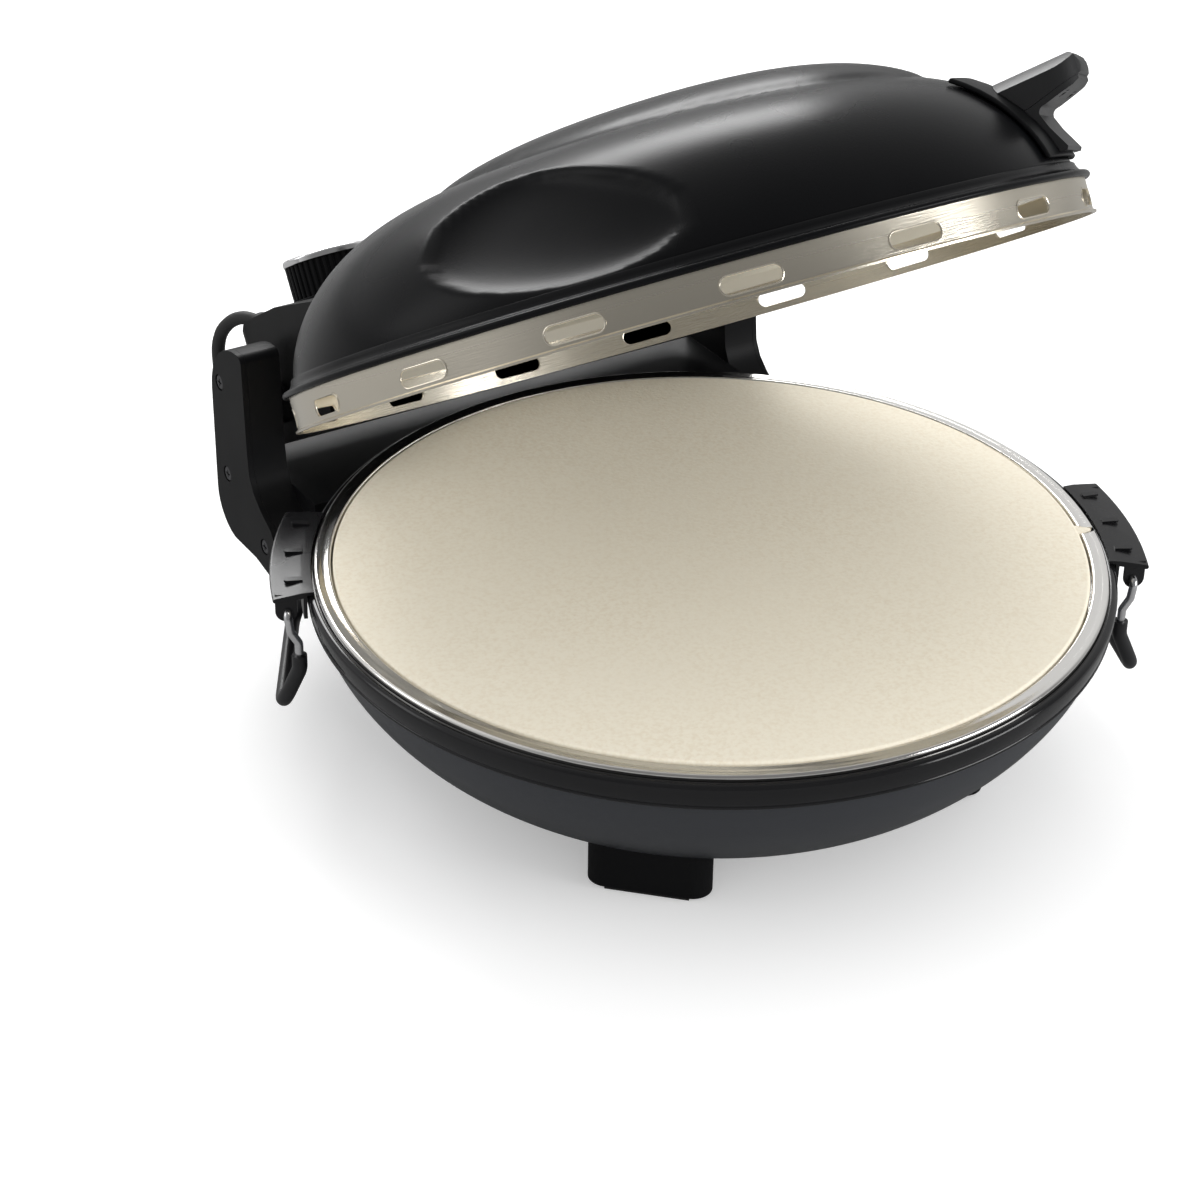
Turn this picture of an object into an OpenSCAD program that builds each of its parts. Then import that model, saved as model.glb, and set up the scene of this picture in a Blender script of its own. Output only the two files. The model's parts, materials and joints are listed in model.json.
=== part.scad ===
// Electric pizza oven: a round base with a baking stone, and a domed lid on a
// wide rear hinge. Millimetres. +Z is up, the hinge is at the back (+Y), and
// the origin is on the table under the centre of the stone. The lid is drawn
// shut and then turned open about the hinge pins.

/* [Baking stone] */
// Diameter of the baking stone
stone_d = 310; // [300:1:320]
// Thickness of the baking stone
stone_t = 10; // [8:0.5:12]
// Height of the stone's top face above the table
stone_top = 90; // [88:1:96]

/* [Base] */
// Width of the steel tray's flange round the stone
tray_flange = 7; // [6:0.5:9]
// How far the black rim stands out past the steel tray
rim_margin = 3.7; // [3.2:0.1:5]
// Radius of the pan's flat bottom
pan_floor_r = 100; // [92:1:104]
// Height of the pan's bottom above the table
foot_h = 14; // [12:1:16]
// Sheet thickness of the pan
pan_wall = 1; // [0.8:0.1:2]
// Distance from the centre to the middle of a foot
foot_ring_r = 112; // [108:1:118]

/* [Lid] */
// Angle that the lid is drawn open
open_angle = 32; // [0:1:60]
// Height of the steel band under the lid
band_h = 14; // [13:0.5:16]
// Number of steam slots in the band
slot_count = 16; // [12:2:20]
// Length of a steam slot along the band
slot_len = 23; // [18:1:26]
// Height of a steam slot
slot_h = 7; // [5:0.5:8]
// Height of the dome above its lip
dome_h = 62; // [56:1:68]
// Sheet thickness of the dome
dome_wall = 1.4; // [1:0.1:3]
// Height of the raised hump on the dome
hump_h = 12; // [6:1:14]
// Depth of the side recess
scallop_depth = 11; // [5:1:13]
// Angle of the handle round the lid, from straight ahead
handle_turn = 45; // [40:1:50]

/* [Hinge] */
// Angle round the tray of the stone's locating lug
lug_angle = -24.6; // [-40:0.1:-10]
// Distance of the hinge axis behind the black rim
hinge_gap = 7.5; // [7:0.5:11]
// Height of the hinge axis above the stone's top
hinge_rise = 18; // [17:1:20]
// Half of the hinge box's width
box_half = 132; // [130:1:140]
// Thickness of a hinge tower, with its cover
tower_w = 18; // [17:1:22]
// Radius of a hinge pin
pin_r = 4; // [3:0.5:5]

/* [Knob] */
// Radius of the temperature knob
knob_r = 19; // [16:0.5:20]
// Height of the knob with its cap
knob_h = 20; // [17:1:24]

/* [Carrying bails] */
// Angle round the rim of the right bail's bracket
right_bail_angle = -22.4; // [-32:0.1:-12]
// Angle round the rim of the left bail's bracket
left_bail_angle = 149.5; // [146:0.1:156]
// Distance between a bracket's two tabs
tab_span = 62; // [56:1:62]
// Radius of the bail's steel wire
wire_r = 1.75; // [1.5:0.05:2]
// Radius of the bail's black sleeve
sleeve_r = 3.1; // [3:0.1:3.5]

/* [Hidden] */
$fn = 96;
fit = 0.3;              // air between pieces that only lie near each other
run = 0.05;             // radial clearance of a turning fit
bend_swell = 0.06;      // how far a bar's bends stand out past its straights
stone_r = stone_d / 2;
sheet = 0.8;            // steel sheet of the tray, reflectors and band
tray_in = stone_r + 0.8;
trim_r = tray_in + tray_flange;
rim_r = trim_r + rim_margin;
hinge_y = rim_r + hinge_gap;
stone_z = stone_top - stone_t;
tray_top = stone_top - 0.5;
rim_seat = stone_top - 5.4;
rim_crest = rim_seat + 2.6;             // top of the black rim
pan_top = stone_top - 14;
pan_top_r = rim_r - 3.5;

band_r = trim_r + 0.2;
lip_z = stone_top + band_h;
lip_r = band_r + 2.4;
dome_r = band_r - 3;
dome_z = lip_z + 2;
hinge_z = stone_top + hinge_rise;
handle_angle = -90 + handle_turn;
scallop_turn = 92.5;                    // from the handle round to the middle of the side recess
mid_z = stone_top - 12;                 // top of the box between the towers
box_back = hinge_y + 19;
box_floor = stone_top - 47;
tower_in = box_half - tower_w;
cover_t = 2.5;
wall = 2.5;
neck_half = tower_in - 6;               // half width of the lid's rear housing
knob_x = 42 - neck_half;              // the knob stays near the housing's left end
neck_top = hinge_z + 39;
knob_y = hinge_y + 8;
tab_t = 1.5;
bail_r = rim_r + 5;                     // radius of the bail's pivot line
bail_z = stone_top - 10;
bail_half = tab_span / 2 + 4;
lower_ring_r = stone_r - 50;
upper_ring_r = stone_r - 60;
heater_r = 3.5;
lower_ring_z = stone_top - 30;
upper_ring_z = lip_z + 20;
lead_x = 12;
reflector_z = stone_top - 46;
slot_z = stone_top + 6.2;
// Link cable from the lid's housing to the box, at the rest angle
cable_r = 3;
cable_x = 6 - neck_half;
box_y = hinge_y + 19;                   // back of the hinge box
cable_route = [for (p = [[0, 12.5, 41], [-1.5, 17, 41.4], [-3.5, 22, 40.6], [-5.5, 27, 38], [-7.5, 31, 34],
                         [-9, 34, 29], [-10, 35.5, 22], [-10, 35.5, 14], [-10, 34.5, 6], [-9, 32, -2],
                         [-7.5, 28, -9], [-5.5, 23, -15], [-3.5, 17.5, -20], [-2.2, 13, -23.6],
                         [-2, 9, -25.2], [-2, 5.5, -25.5]])
    [cable_x + p[0], box_y + p[1], stone_top + p[2]]];
last = len(cable_route) - 1;

// ---- helpers ----

// Points of an arc about (x, y)
function arc(x, y, r, a0, a1, n = 6) =
    [for (i = [0 : n]) [x + r * cos(a0 + (a1 - a0) * i / n), y + r * sin(a0 + (a1 - a0) * i / n)]];

function backwards(list) = [for (i = [len(list) - 1 : -1 : 0]) list[i]];

// Half section of the pan, pushed outwards by grow
function pan_curve(grow = 0) =
    [for (a = [0 : 7.5 : 90])
        [pan_floor_r + (pan_top_r - pan_floor_r) * pow(cos(a), 4 / 3) + grow * cos(a),
         pan_top - (pan_top - foot_h) * pow(sin(a), 4 / 3) - grow * sin(a)]];

// Half section of the plain dome, pushed outwards by grow, from the lip to the top
function dome_curve(grow = 0, step = 6) =
    [for (a = [90 : -step : 0])
        [(dome_r + grow) * pow(sin(a), 0.5), dome_z + (dome_h + grow) * pow(cos(a), 1.2)]];

module revolve(points) {
    rotate_extrude() polygon(points);
}

// A straight round bar from p to q
module rod(p, q, r) {
    d = q - p;
    length = norm(d);
    translate(p) rotate([0, acos(d[2] / length), atan2(d[1], d[0])]) cylinder(h = length, r = r);
}

// A bar bent through a list of points
module bent_bar(points, r) {
    for (i = [0 : len(points) - 2]) rod(points[i], points[i + 1], r);
    for (i = [1 : len(points) - 2]) translate(points[i]) sphere(r = r + bend_swell);
}

// A side profile in Y and Z, drawn out along X
module along_x(x0, x1) {
    translate([x0, 0, 0]) rotate([90, 0, 90]) linear_extrude(height = x1 - x0) children();
}

// A hole or bar along X on the hinge axis
module on_hinge(x0, x1, r) {
    translate([x0, hinge_y, hinge_z]) rotate([0, 90, 0]) cylinder(h = x1 - x0, r = r);
}

// Turns what is drawn shut to the angle at which the lid stands open
module opened() {
    translate([0, hinge_y, hinge_z]) rotate([-open_angle, 0, 0])
        translate([0, -hinge_y, -hinge_z]) children();
}

// The other way round: a thing drawn where it stands open, in the shut lid's frame
module unopened() {
    translate([0, hinge_y, hinge_z]) rotate([open_angle, 0, 0])
        translate([0, -hinge_y, -hinge_z]) children();
}

// ---- base ----

module pan_solid(grow = 0) {
    revolve(concat([[0, pan_top]], pan_curve(grow), [[0, foot_h - grow]]));
}

module foot_places() {
    for (a = [45 : 90 : 315]) rotate(a) translate([foot_ring_r, 0, 0]) children();
}

module lead_holes(z, r, y0, y1) {
    for (x = [-lead_x, lead_x])
        translate([x, y0, z]) rotate([-90, 0, 0]) cylinder(h = y1 - y0, r = r);
}

module base_pan() {
    color("#2b2c2f") difference() {
        revolve(concat(pan_curve(0), [[0, foot_h], [0, foot_h + pan_wall]], backwards(pan_curve(-pan_wall))));
        foot_places() cylinder(h = 40, r = 2.2);
        lead_holes(lower_ring_z, heater_r + 0.6, 120, 200);
    }
}

module base_rim() {
    inner = rim_r - 7.5;
    skin = 1.4;
    color("#101114") revolve(concat(
        [[inner, pan_top], [rim_r - 3.3, pan_top], [rim_r - 0.9, pan_top + 1.5]],
        arc(rim_r - 2.4, rim_seat + 0.2, 2.4, 0, 90, 6),
        [[rim_r - 3.4, rim_crest - 0.4], [rim_r - 3.4, rim_seat], [inner + 1, rim_seat],
         [inner + 1, rim_seat - skin], [rim_r - 2.4, rim_seat - skin],
         [rim_r - 0.9 - skin, pan_top + 2.2], [rim_r - 3.8, pan_top + skin], [inner, pan_top + skin]]));
}

// Wedge at the lug, pointing outwards, between two heights
module lug_wedge(from_r, to_r, wide, narrow, z0, z1) {
    rotate(lug_angle) translate([0, 0, z0]) linear_extrude(height = z1 - z0)
        polygon([[from_r, -wide], [to_r, -narrow], [to_r, narrow], [from_r, wide]]);
}

module stone_tray() {
    ledge = tray_in - 10;
    color("#c9cacb") difference() {
        revolve(concat(
        [[ledge, stone_z - sheet], [tray_in + sheet, stone_z - sheet],
         [tray_in + sheet, tray_top - sheet], [trim_r - sheet, tray_top - sheet],
         [trim_r - sheet, rim_seat], [trim_r, rim_seat]],
        arc(trim_r - 1.2, tray_top - 1.2, 1.2, 0, 90, 4),
        [[tray_in + 0.6, tray_top], [tray_in, tray_top - 0.6], [tray_in, stone_z],
         [ledge, stone_z]]));
        lug_wedge(tray_in - 1, trim_r + 1, 4, 0.8, stone_top - 4.6, stone_top + 1);
    }
}

module pizza_stone() {
    edge = 1.5;
    color("#efe6d2") {
        revolve(concat([[0, stone_z], [stone_r - edge, stone_z]],
            arc(stone_r - edge, stone_z + edge, edge, -90, 0, 4),
            arc(stone_r - edge, stone_top - edge, edge, 0, 90, 4), [[0, stone_top]]));
        lug_wedge(stone_r - 3, trim_r - 2, 4.6, 0.7, stone_top - 4, stone_top - 0.4);
    }
}

module lower_reflector() {
    lip = rim_r - 6;
    flange_in = stone_r - 4;
    flat_r = lower_ring_r - 7;
    rise_r = lower_ring_r + 27;
    color("#b9bbbd") difference() {
        revolve([[0, reflector_z], [flat_r, reflector_z], [rise_r, reflector_z + 8],
                 [flange_in, pan_top - sheet], [lip, pan_top - sheet], [lip, pan_top],
                 [flange_in - sheet, pan_top], [rise_r - 0.5, reflector_z + 8 + sheet],
                 [flat_r - 0.2, reflector_z + sheet], [0, reflector_z + sheet]]);
        lead_holes(lower_ring_z, heater_r + 0.6, 120, 180);
    }
}

module heater(ring_r, z, lead_end) {
    half_gap = asin(lead_x / ring_r);
    lead_y = ring_r * cos(half_gap);
    color("#55504c") {
        translate([0, 0, z]) rotate(90 + half_gap) rotate_extrude(angle = 360 - 2 * half_gap)
            translate([ring_r, 0]) circle(r = heater_r, $fn = 32);
        for (x = [-lead_x, lead_x]) {
            translate([x, lead_y, z]) sphere(r = heater_r + bend_swell, $fn = 32);
            translate([x, lead_y, z]) rotate([-90, 0, 0]) cylinder(h = lead_end - lead_y, r = heater_r);
        }
    }
}

// Saddles that carry a heating ring, standing from z0
module heater_clips(ring_r, z, z0) {
    color("#c0c0c0") for (a = [-90, 30, 150]) difference() {
        rotate(a) translate([ring_r - 5, -3, min(z0, z)]) cube([10, 6, abs(z - z0)]);
        translate([0, 0, z]) rotate_extrude() translate([ring_r, 0])
            circle(r = heater_r + run, $fn = 32);
    }
}

module lower_element() { heater(lower_ring_r, lower_ring_z, rim_r + 11.5); }

module lower_element_clips() {
    heater_clips(lower_ring_r, lower_ring_z, reflector_z + 4);
}

module foot(a) {
    color("#17181a") difference() {
        rotate(a) translate([foot_ring_r, 0, 0]) {
            translate([-8, -17, 2]) cube([16, 34, 30]);
            for (s = [-1, 1]) translate([0, s * 17, 2]) cylinder(h = 30, r = 8);
        }
        pan_solid();
        foot_places() translate([0, 0, -1]) cylinder(h = 60, r = 2.2);
        foot_places() translate([0, 0, -1]) cylinder(h = 9, r = 5);
        translate([0, 0, foot_h + 8]) cylinder(h = 60, r = 400);
    }
}

module foot_pads() {
    color("#0c0c0d") foot_places() difference() {
        translate([-6.5, -17, 0]) cube([13, 34, 2]);
        translate([0, 0, -1]) cylinder(h = 4, r = 5.4);
    }
}

module foot_screws() {
    color("#9a9a9c") foot_places() {
        translate([0, 0, 5]) cylinder(h = 3, r = 4);
        translate([0, 0, 8]) cylinder(h = foot_h + 4, r = 2.1);
    }
}

// ---- hinge box ----

// Side outline of a tower in Y and Z
function tower_outline() = concat(
    [[hinge_y - 31, box_floor], [hinge_y - 17, box_floor + 2.8]],
    arc(box_back - 19.5, box_floor + 22, 19.5, -78, 0, 7),
    arc(box_back - 27, hinge_z + 5, 27, 0, 90, 9),
    arc(hinge_y - 8.5, hinge_z + 28.4, 3.6, 90, 172, 4),
    [[hinge_y - 13.4, hinge_z - 12], [hinge_y - 14.5, stone_top - 5], [hinge_y - 18, stone_top - 12],
     [hinge_y - 24, stone_top - 17.5], [hinge_y - 33, stone_top - 23], [hinge_y - 36.4, stone_top - 28]],
    arc(hinge_y - 32.5, box_floor + 4, 4, 180, 250, 4));

// What the box has to leave free for the pan and its rim
module base_room() {
    pan_solid(fit);
    translate([0, 0, pan_top - fit]) cylinder(h = 80, r = rim_r + fit);
}

function cover_screw_places() = [[box_back - 8, hinge_z + 10.8], [box_back - 11, hinge_z - 32.4],
                                 [hinge_y - 26, box_floor + 12.6]];

module cover_screw_holes(x0, x1, r) {
    for (p = cover_screw_places()) translate([x0, p[0], p[1]]) rotate([0, 90, 0])
        cylinder(h = x1 - x0, r = r);
}

module tower() {
    difference() {
        along_x(tower_in, box_half - cover_t) polygon(tower_outline());
        base_room();
        on_hinge(tower_in - 1, tower_in + wall + 1, pin_r);
        on_hinge(tower_in + wall, box_half, pin_r + 8);
        cover_screw_holes(box_half - 12, box_half, 1.5);
    }
}

module hinge_box() {
    room_y0 = rim_r + 4;
    color("#1a1b1e") {
        tower();
        mirror([1, 0, 0]) tower();
        difference() {
            translate([-tower_in, hinge_y - 40, box_floor])
                cube([2 * tower_in, box_back - hinge_y + 40, mid_z - box_floor]);
            base_room();
            translate([-tower_in + 2 * wall, room_y0, box_floor - 1])
                cube([2 * (tower_in - 2 * wall), box_back - wall - room_y0, mid_z - wall - box_floor + 1]);
            lead_holes(lower_ring_z, heater_r + 0.6, 120, room_y0 + 1);
            translate([cable_route[last][0], box_back - 10, cable_route[last][2]])
                rotate([-90, 0, 0]) cylinder(h = 20, r = cable_r + 1.5);
            for (x = [-80, 80]) translate([x, room_y0 - 5, box_floor - 1]) cylinder(h = 12, r = 1.5);
        }
    }
}

module side_cover() {
    color("#232427") difference() {
        along_x(box_half - cover_t, box_half) polygon(tower_outline());
        base_room();
        cover_screw_holes(box_half - cover_t - 1, box_half + 1, 1.8);
        cover_screw_holes(box_half - 1.2, box_half + 1, 3.6);
    }
}

module side_cover_left() { mirror([1, 0, 0]) side_cover(); }
module side_cover_right() { side_cover(); }

module side_cover_screws() {
    color("#3a3b3e") for (m = [0, 1]) mirror([m, 0, 0]) {
        cover_screw_holes(box_half - 1.2, box_half - 0.2, 3.4);
        cover_screw_holes(box_half - 11, box_half - 1.2, 1.5);
    }
}

module box_bottom_cover() {
    room_y0 = rim_r + 4;
    color("#232427") difference() {
        translate([-tower_in + 2 * wall + fit, room_y0 - 12, box_floor - 2])
            cube([2 * (tower_in - 2 * wall - fit), box_back - room_y0 + 10, 2]);
        for (x = [-80, 80]) translate([x, room_y0 - 5, box_floor - 3]) cylinder(h = 12, r = 1.8);
    }
}

module bottom_cover_screws() {
    room_y0 = rim_r + 4;
    color("#9a9a9c") for (x = [-80, 80]) translate([x, room_y0 - 5, box_floor - 4]) {
        cylinder(h = 2, r = 3);
        cylinder(h = 12, r = 1.5);
    }
}

module hinge_pin() {
    color("#b8b9bb") {
        on_hinge(neck_half - wall - 3, tower_in + wall, pin_r);
        on_hinge(tower_in + wall, tower_in + wall + 3, pin_r + 3);
    }
}

module hinge_pin_left() { mirror([1, 0, 0]) hinge_pin(); }
module hinge_pin_right() { hinge_pin(); }

module box_cable_gland() {
    p = cable_route[last];
    color("#141416") translate([p[0], box_back, p[2]]) rotate([-90, 0, 0]) difference() {
        union() {
            cylinder(h = p[1] - box_back, r = cable_r + 3);
            translate([0, 0, -wall]) cylinder(h = wall, r = cable_r + 1.5);
        }
        translate([0, 0, -wall - 1]) cylinder(h = 3, r = cable_r);
    }
}

module terminal_block() {
    room_y0 = rim_r + 4;
    color("#d8d6cf") difference() {
        translate([-lead_x - 10, room_y0 + 7.8, lower_ring_z - 6]) cube([2 * lead_x + 20, 8, 12]);
        lead_holes(lower_ring_z, 2, 120, 220);
    }
}

// ---- link cable ----

function unit(v) = v / norm(v);
function direction(i) = unit(cable_route[min(i + 1, len(cable_route) - 1)] - cable_route[max(i - 1, 0)]);
function side_of(i) = unit(cross(direction(i), [1, 0, 0.2]));

module link_cable() {
    sides = 10;
    n = len(cable_route);
    points = [for (i = [0 : n - 1]) for (k = [0 : sides - 1])
        let (u = i == 0 || i == n - 1 ? unit(cross([0, 1, 0], [1, 0, 0.2])) : side_of(i),
             d = i == 0 || i == n - 1 ? [0, i == 0 ? 1 : -1, 0] : direction(i),
             v = cross(d, u))
        cable_route[i] + cable_r * (u * cos(360 * k / sides) + v * sin(360 * k / sides))];
    sleeves = [for (i = [0 : n - 2]) for (k = [0 : sides - 1])
        let (a = i * sides + k, b = i * sides + (k + 1) % sides)
        each [[a, b, b + sides], [a, b + sides, a + sides]]];
    color("#0b0b0c") polyhedron(points, concat(sleeves, [[for (k = [sides - 1 : -1 : 0]) k]],
        [[for (k = [0 : sides - 1]) (n - 1) * sides + k]]));
}

// ---- carrying bails ----

module bracket(angle) {
    half = tab_span / 2;
    span = 2 * asin((half + tab_t) / rim_r);
    under = rim_crest + fit;            // underside of the plate, over the rim
    lip = rim_r + 13;
    rib_r = 1.5;
    color("#151618") rotate(angle) difference() {
        union() {
            rotate(-span / 2) rotate_extrude(angle = span) polygon(concat(
                [[rim_r + fit, pan_top + 1], [rim_r + fit + tab_t, pan_top + 1],
                 [rim_r + fit + tab_t, under - 1], [lip, under - 2]],
                arc(lip, under - 1, 1, -90, 90, 4),
                [[rim_r + 2, under + tab_t], [rim_r - 2.6, under + tab_t], [rim_r - 2.6, under],
                 [rim_r + fit, under]]));
            for (s = [-1, 1]) translate([rim_r + 1.2, s * (half + tab_t / 2) - tab_t / 2, bail_z]) {
                cube([8.8, tab_t, under - bail_z + 0.5]);
                translate([4.4, 0, 0]) rotate([-90, 0, 0]) cylinder(h = tab_t, r = 4.4);
            }
            for (a = [-span * 0.34, 0, span * 0.34]) rotate(a)      // pressed stiffening ribs
                translate([rim_r + 1, 0, under + tab_t - 0.2]) {
                    translate([0, -rib_r, 0]) cube([6, 2 * rib_r, 1]);
                    translate([6, 0, 0]) cylinder(h = 1, r = rib_r);
                }
        }
        translate([bail_r, -half - 3 * tab_t, bail_z]) rotate([-90, 0, 0])
            cylinder(h = tab_span + 6 * tab_t, r = wire_r + run);
    }
}

module bracket_left() { bracket(left_bail_angle); }
module bracket_right() { bracket(right_bail_angle); }

module bracket_rivets() {
    color("#77787a") for (angle = [left_bail_angle, right_bail_angle])
        for (a = [-7, 7]) rotate(angle + a) translate([rim_r + fit + tab_t, 0, pan_top + 5])
            rotate([0, 90, 0]) cylinder(h = 1, r = 2.2);
}

function bail_leg(s) = [[bail_r, s * (tab_span / 2 - 3), bail_z], [bail_r, s * bail_half, bail_z],
                        [bail_r - 1, s * bail_half, bail_z - 8], [bail_r - 4, s * bail_half, bail_z - 13],
                        [bail_r - 4, s * bail_half, bail_z - 16]];
function bail_low(s) = [[bail_r - 4, s * bail_half, bail_z - 18.5], [bail_r - 4, s * bail_half, bail_z - 25],
                        [bail_r + 4, s * bail_half, bail_z - 43]];

module bail(angle) {
    color("#c4c5c7") rotate(angle) for (s = [-1, 1]) bent_bar(concat(bail_leg(s), [bail_low(s)[0]]), wire_r);
}

module bail_grip(angle) {
    color("#121214") rotate(angle)
        bent_bar(concat(bail_low(-1), backwards(bail_low(1))), sleeve_r);
}

module bail_left() { bail(left_bail_angle); }
module bail_right() { bail(right_bail_angle); }
module bail_grip_left() { bail_grip(left_bail_angle); }
module bail_grip_right() { bail_grip(right_bail_angle); }

// ---- lid ----

// Rise of the hump over the plain dome at distance s along the handle's line and w across it
function hump(s, w) = let (d = pow((s - 11) / 103, 2) + pow(w / 70, 2))
    d < 1 ? hump_h * pow(1 - d, 0.7) : 0;

// Depth of the side recess at angle a round the lid, where the plain dome has height z
function scallop(a, z) =
    let (turn = ((a - handle_angle + scallop_turn + 540) % 360) - 180, dz = z - dome_z - 27.5 + turn / 3,
         d = pow(turn / 20, 2) + pow(dz / 21, 2))
    d < 1 ? scallop_depth * pow(1 - d, 0.6) : 0;

// A point of the dome: ring angle a, and t from 0 at the top to 90 at the lip
function dome_point(a, t, grow) =
    let (cut = grow - scallop(a, dome_z + dome_h * pow(cos(t), 1.2)),
         r = (dome_r + cut) * pow(sin(t), 0.5),
         along = r * cos(a - handle_angle), across = r * sin(a - handle_angle))
    [r * cos(a), r * sin(a), dome_z + (dome_h + cut) * pow(cos(t), 1.2) + hump(along, across)];

module dome_shell() {
    na = 72;
    nt = 18;
    skins = [0, -dome_wall];
    points = [for (grow = skins) each concat(
        [[0, 0, dome_z + dome_h + grow + hump(0, 0)]],
        [for (i = [1 : nt]) for (j = [0 : na - 1]) dome_point(j * 360 / na, i * 90 / nt, grow)])];
    m = 1 + nt * na;
    function at(skin, i, j) = skin * m + (i == 0 ? 0 : 1 + (i - 1) * na + j % na);
    outer = [for (j = [0 : na - 1]) each concat([[at(0, 0, 0), at(0, 1, j + 1), at(0, 1, j)]],
        [for (i = [1 : nt - 1]) each [[at(0, i, j), at(0, i, j + 1), at(0, i + 1, j + 1)],
                                      [at(0, i, j), at(0, i + 1, j + 1), at(0, i + 1, j)]]])];
    inner = [for (f = outer) [f[2] + m, f[1] + m, f[0] + m]];
    edge = [for (j = [0 : na - 1]) each [[at(0, nt, j), at(0, nt, j + 1), at(1, nt, j + 1)],
                                         [at(0, nt, j), at(1, nt, j + 1), at(1, nt, j)]]];
    polyhedron(points, concat(outer, inner, edge));
}

module lid_shell() { color("#1c1d20") opened() dome_shell(); }

module lid_rim() {
    color("#1c1d20") opened() revolve(concat(
        [[dome_r - 2.6, lip_z], [lip_r - 0.8, lip_z]],
        arc(lip_r - 1, lip_z + 1.2, 1, -60, 60, 4),
        [[dome_r + 2.4, dome_z + 2], [dome_r + 0.9, dome_z + 4.5], [dome_r + 0.15, dome_z + 5],
         [dome_r + 0.15, dome_z], [dome_r - 2.6, dome_z]]));
}

module lid_band() {
    color("#d2cfc8") opened() difference() {
        revolve([[band_r - sheet, stone_top + 0.2], [band_r + 1, stone_top + 0.2],
                 [band_r + 1.2, stone_top + 1], [band_r, stone_top + 1.6], [band_r, lip_z],
                 [dome_r - 2.6, lip_z], [dome_r - 2.6, lip_z - sheet],
                 [band_r - sheet, lip_z - sheet]]);
        for (k = [0 : slot_count - 1]) rotate(k * 360 / slot_count) translate([band_r - 4, 0, slot_z])
            rotate([0, 90, 0]) {
                translate([-slot_h / 2, -slot_len / 2 + slot_h / 2, 0]) cube([slot_h, slot_len - slot_h, 8]);
                for (s = [-1, 1]) translate([0, s * (slot_len - slot_h) / 2, 0])
                    cylinder(h = 8, r = slot_h / 2);
            }
    }
}

module lid_reflector() {
    top = dome_z + dome_h * 0.62;
    lip = dome_r - 4;
    flange = dome_r - 2.9;
    crown = dome_r - 54;
    shoulder = dome_r - 30;
    color("#b9bbbd") opened() difference() {
        revolve([[0, top], [crown, top - 2], [shoulder, top - 16], [lip - 3, lip_z + 4], [lip, lip_z],
                 [flange, lip_z], [flange, lip_z - sheet], [lip - 1, lip_z - sheet], [lip - 4, lip_z + 4],
                 [shoulder - 0.7, top - 16 - sheet], [crown - 0.2, top - 2 - sheet], [0, top - sheet]]);
        lead_holes(upper_ring_z, heater_r + 0.6, 120, 180);
    }
}

module upper_element() { opened() heater(upper_ring_r, upper_ring_z, dome_r - 12); }

module upper_element_clips() {
    opened() heater_clips(upper_ring_r, upper_ring_z, dome_z + dome_h * 0.62 - 3);
}

// Side outline of the lid's rear housing in Y and Z, inset by i
function neck_outline(i) = concat(
    [[hinge_y - 60, hinge_z - 17.5 + i], [hinge_y + 10 - i / 3, hinge_z - 17.5 + i],
     [hinge_y + 22 - i * 0.8, hinge_z - 13 + i * 0.8], [hinge_y + 30 - i, hinge_z - 4 + i * 0.5]],
    arc(hinge_y + 8, hinge_z + 14, 25 - i, -22, 0, 2),
    arc(hinge_y + 11, hinge_z + 17, 22 - i, 0, 80, 6),
    [[hinge_y - 20, neck_top - i], [hinge_y - 60, neck_top - 4 - i]]);

// Plan outline of the rear housing in X and Y, with rounded rear corners
function neck_plan(i) = concat([[-neck_half + i, 60], [neck_half - i, 60]],
    arc(neck_half - 14, hinge_y + 19, 14 - i, 0, 90, 5),
    arc(-neck_half + 14, hinge_y + 19, 14 - i, 90, 180, 5));

module neck_solid(i) {
    intersection() {
        along_x(-neck_half + i, neck_half - i) polygon(neck_outline(i));
        linear_extrude(height = 400) polygon(neck_plan(i));
    }
}

// What the rear housing has to leave free for the dome and its lip
module lid_room(grow) {
    revolve(concat([[0, 0], [lip_r + fit, 0], [lip_r + fit, dome_z + 2.5], [dome_r + 2.6, dome_z + 2.5],
                    [dome_r + 1.3, dome_z + 5.2]],
                   [for (p = dome_curve(grow, 6)) if (p[1] > dome_z + 5.5) p]));
}

module rear_housing() {
    color("#1c1d20") opened() difference() {
        neck_solid(0);
        intersection() {
            neck_solid(wall);
            translate([-300, 0, 0]) cube([600, 600, 600]);
        }
        lid_room(0.6);
        on_hinge(-tower_in, tower_in, pin_r + 2.5);
        translate([knob_x, knob_y, hinge_z]) cylinder(h = 60, r = 5);
        unopened() translate([cable_route[0][0], hinge_y, cable_route[0][2]]) rotate([-90, 0, 0])
            cylinder(h = 60, r = cable_r + 2.5 + run);
    }
}

module hinge_bush() {
    difference() {
        union() {
            on_hinge(neck_half - wall, neck_half, pin_r + 2.5);
            on_hinge(neck_half, tower_in - 0.5, pin_r + 5);
        }
        on_hinge(neck_half - wall - 1, tower_in, pin_r + run);
    }
}

module hinge_bush_left() { color("#c9b27a") opened() mirror([1, 0, 0]) hinge_bush(); }
module hinge_bush_right() { color("#c9b27a") opened() hinge_bush(); }

module lid_cable_gland() {
    p = cable_route[0];
    color("#141416") translate([p[0], p[1] - 6, p[2]]) rotate([-90, 0, 0]) difference() {
        cylinder(h = 6 - fit, r = cable_r + 2.5);
        translate([0, 0, -1]) cylinder(h = 4, r = cable_r);
    }
}

module thermostat() {
    drop = 4;
    color("#8f9092") opened() translate([knob_x, knob_y, neck_top - wall]) difference() {
        union() {
            translate([0, 0, -drop - 14]) cylinder(h = 14, r = 12);
            translate([0, 0, -drop]) cylinder(h = drop + wall - 0.5, r = 5 - run);
        }
        translate([0, 0, -drop - 12]) cylinder(h = 40, r = 3 + run);
    }
}

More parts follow.
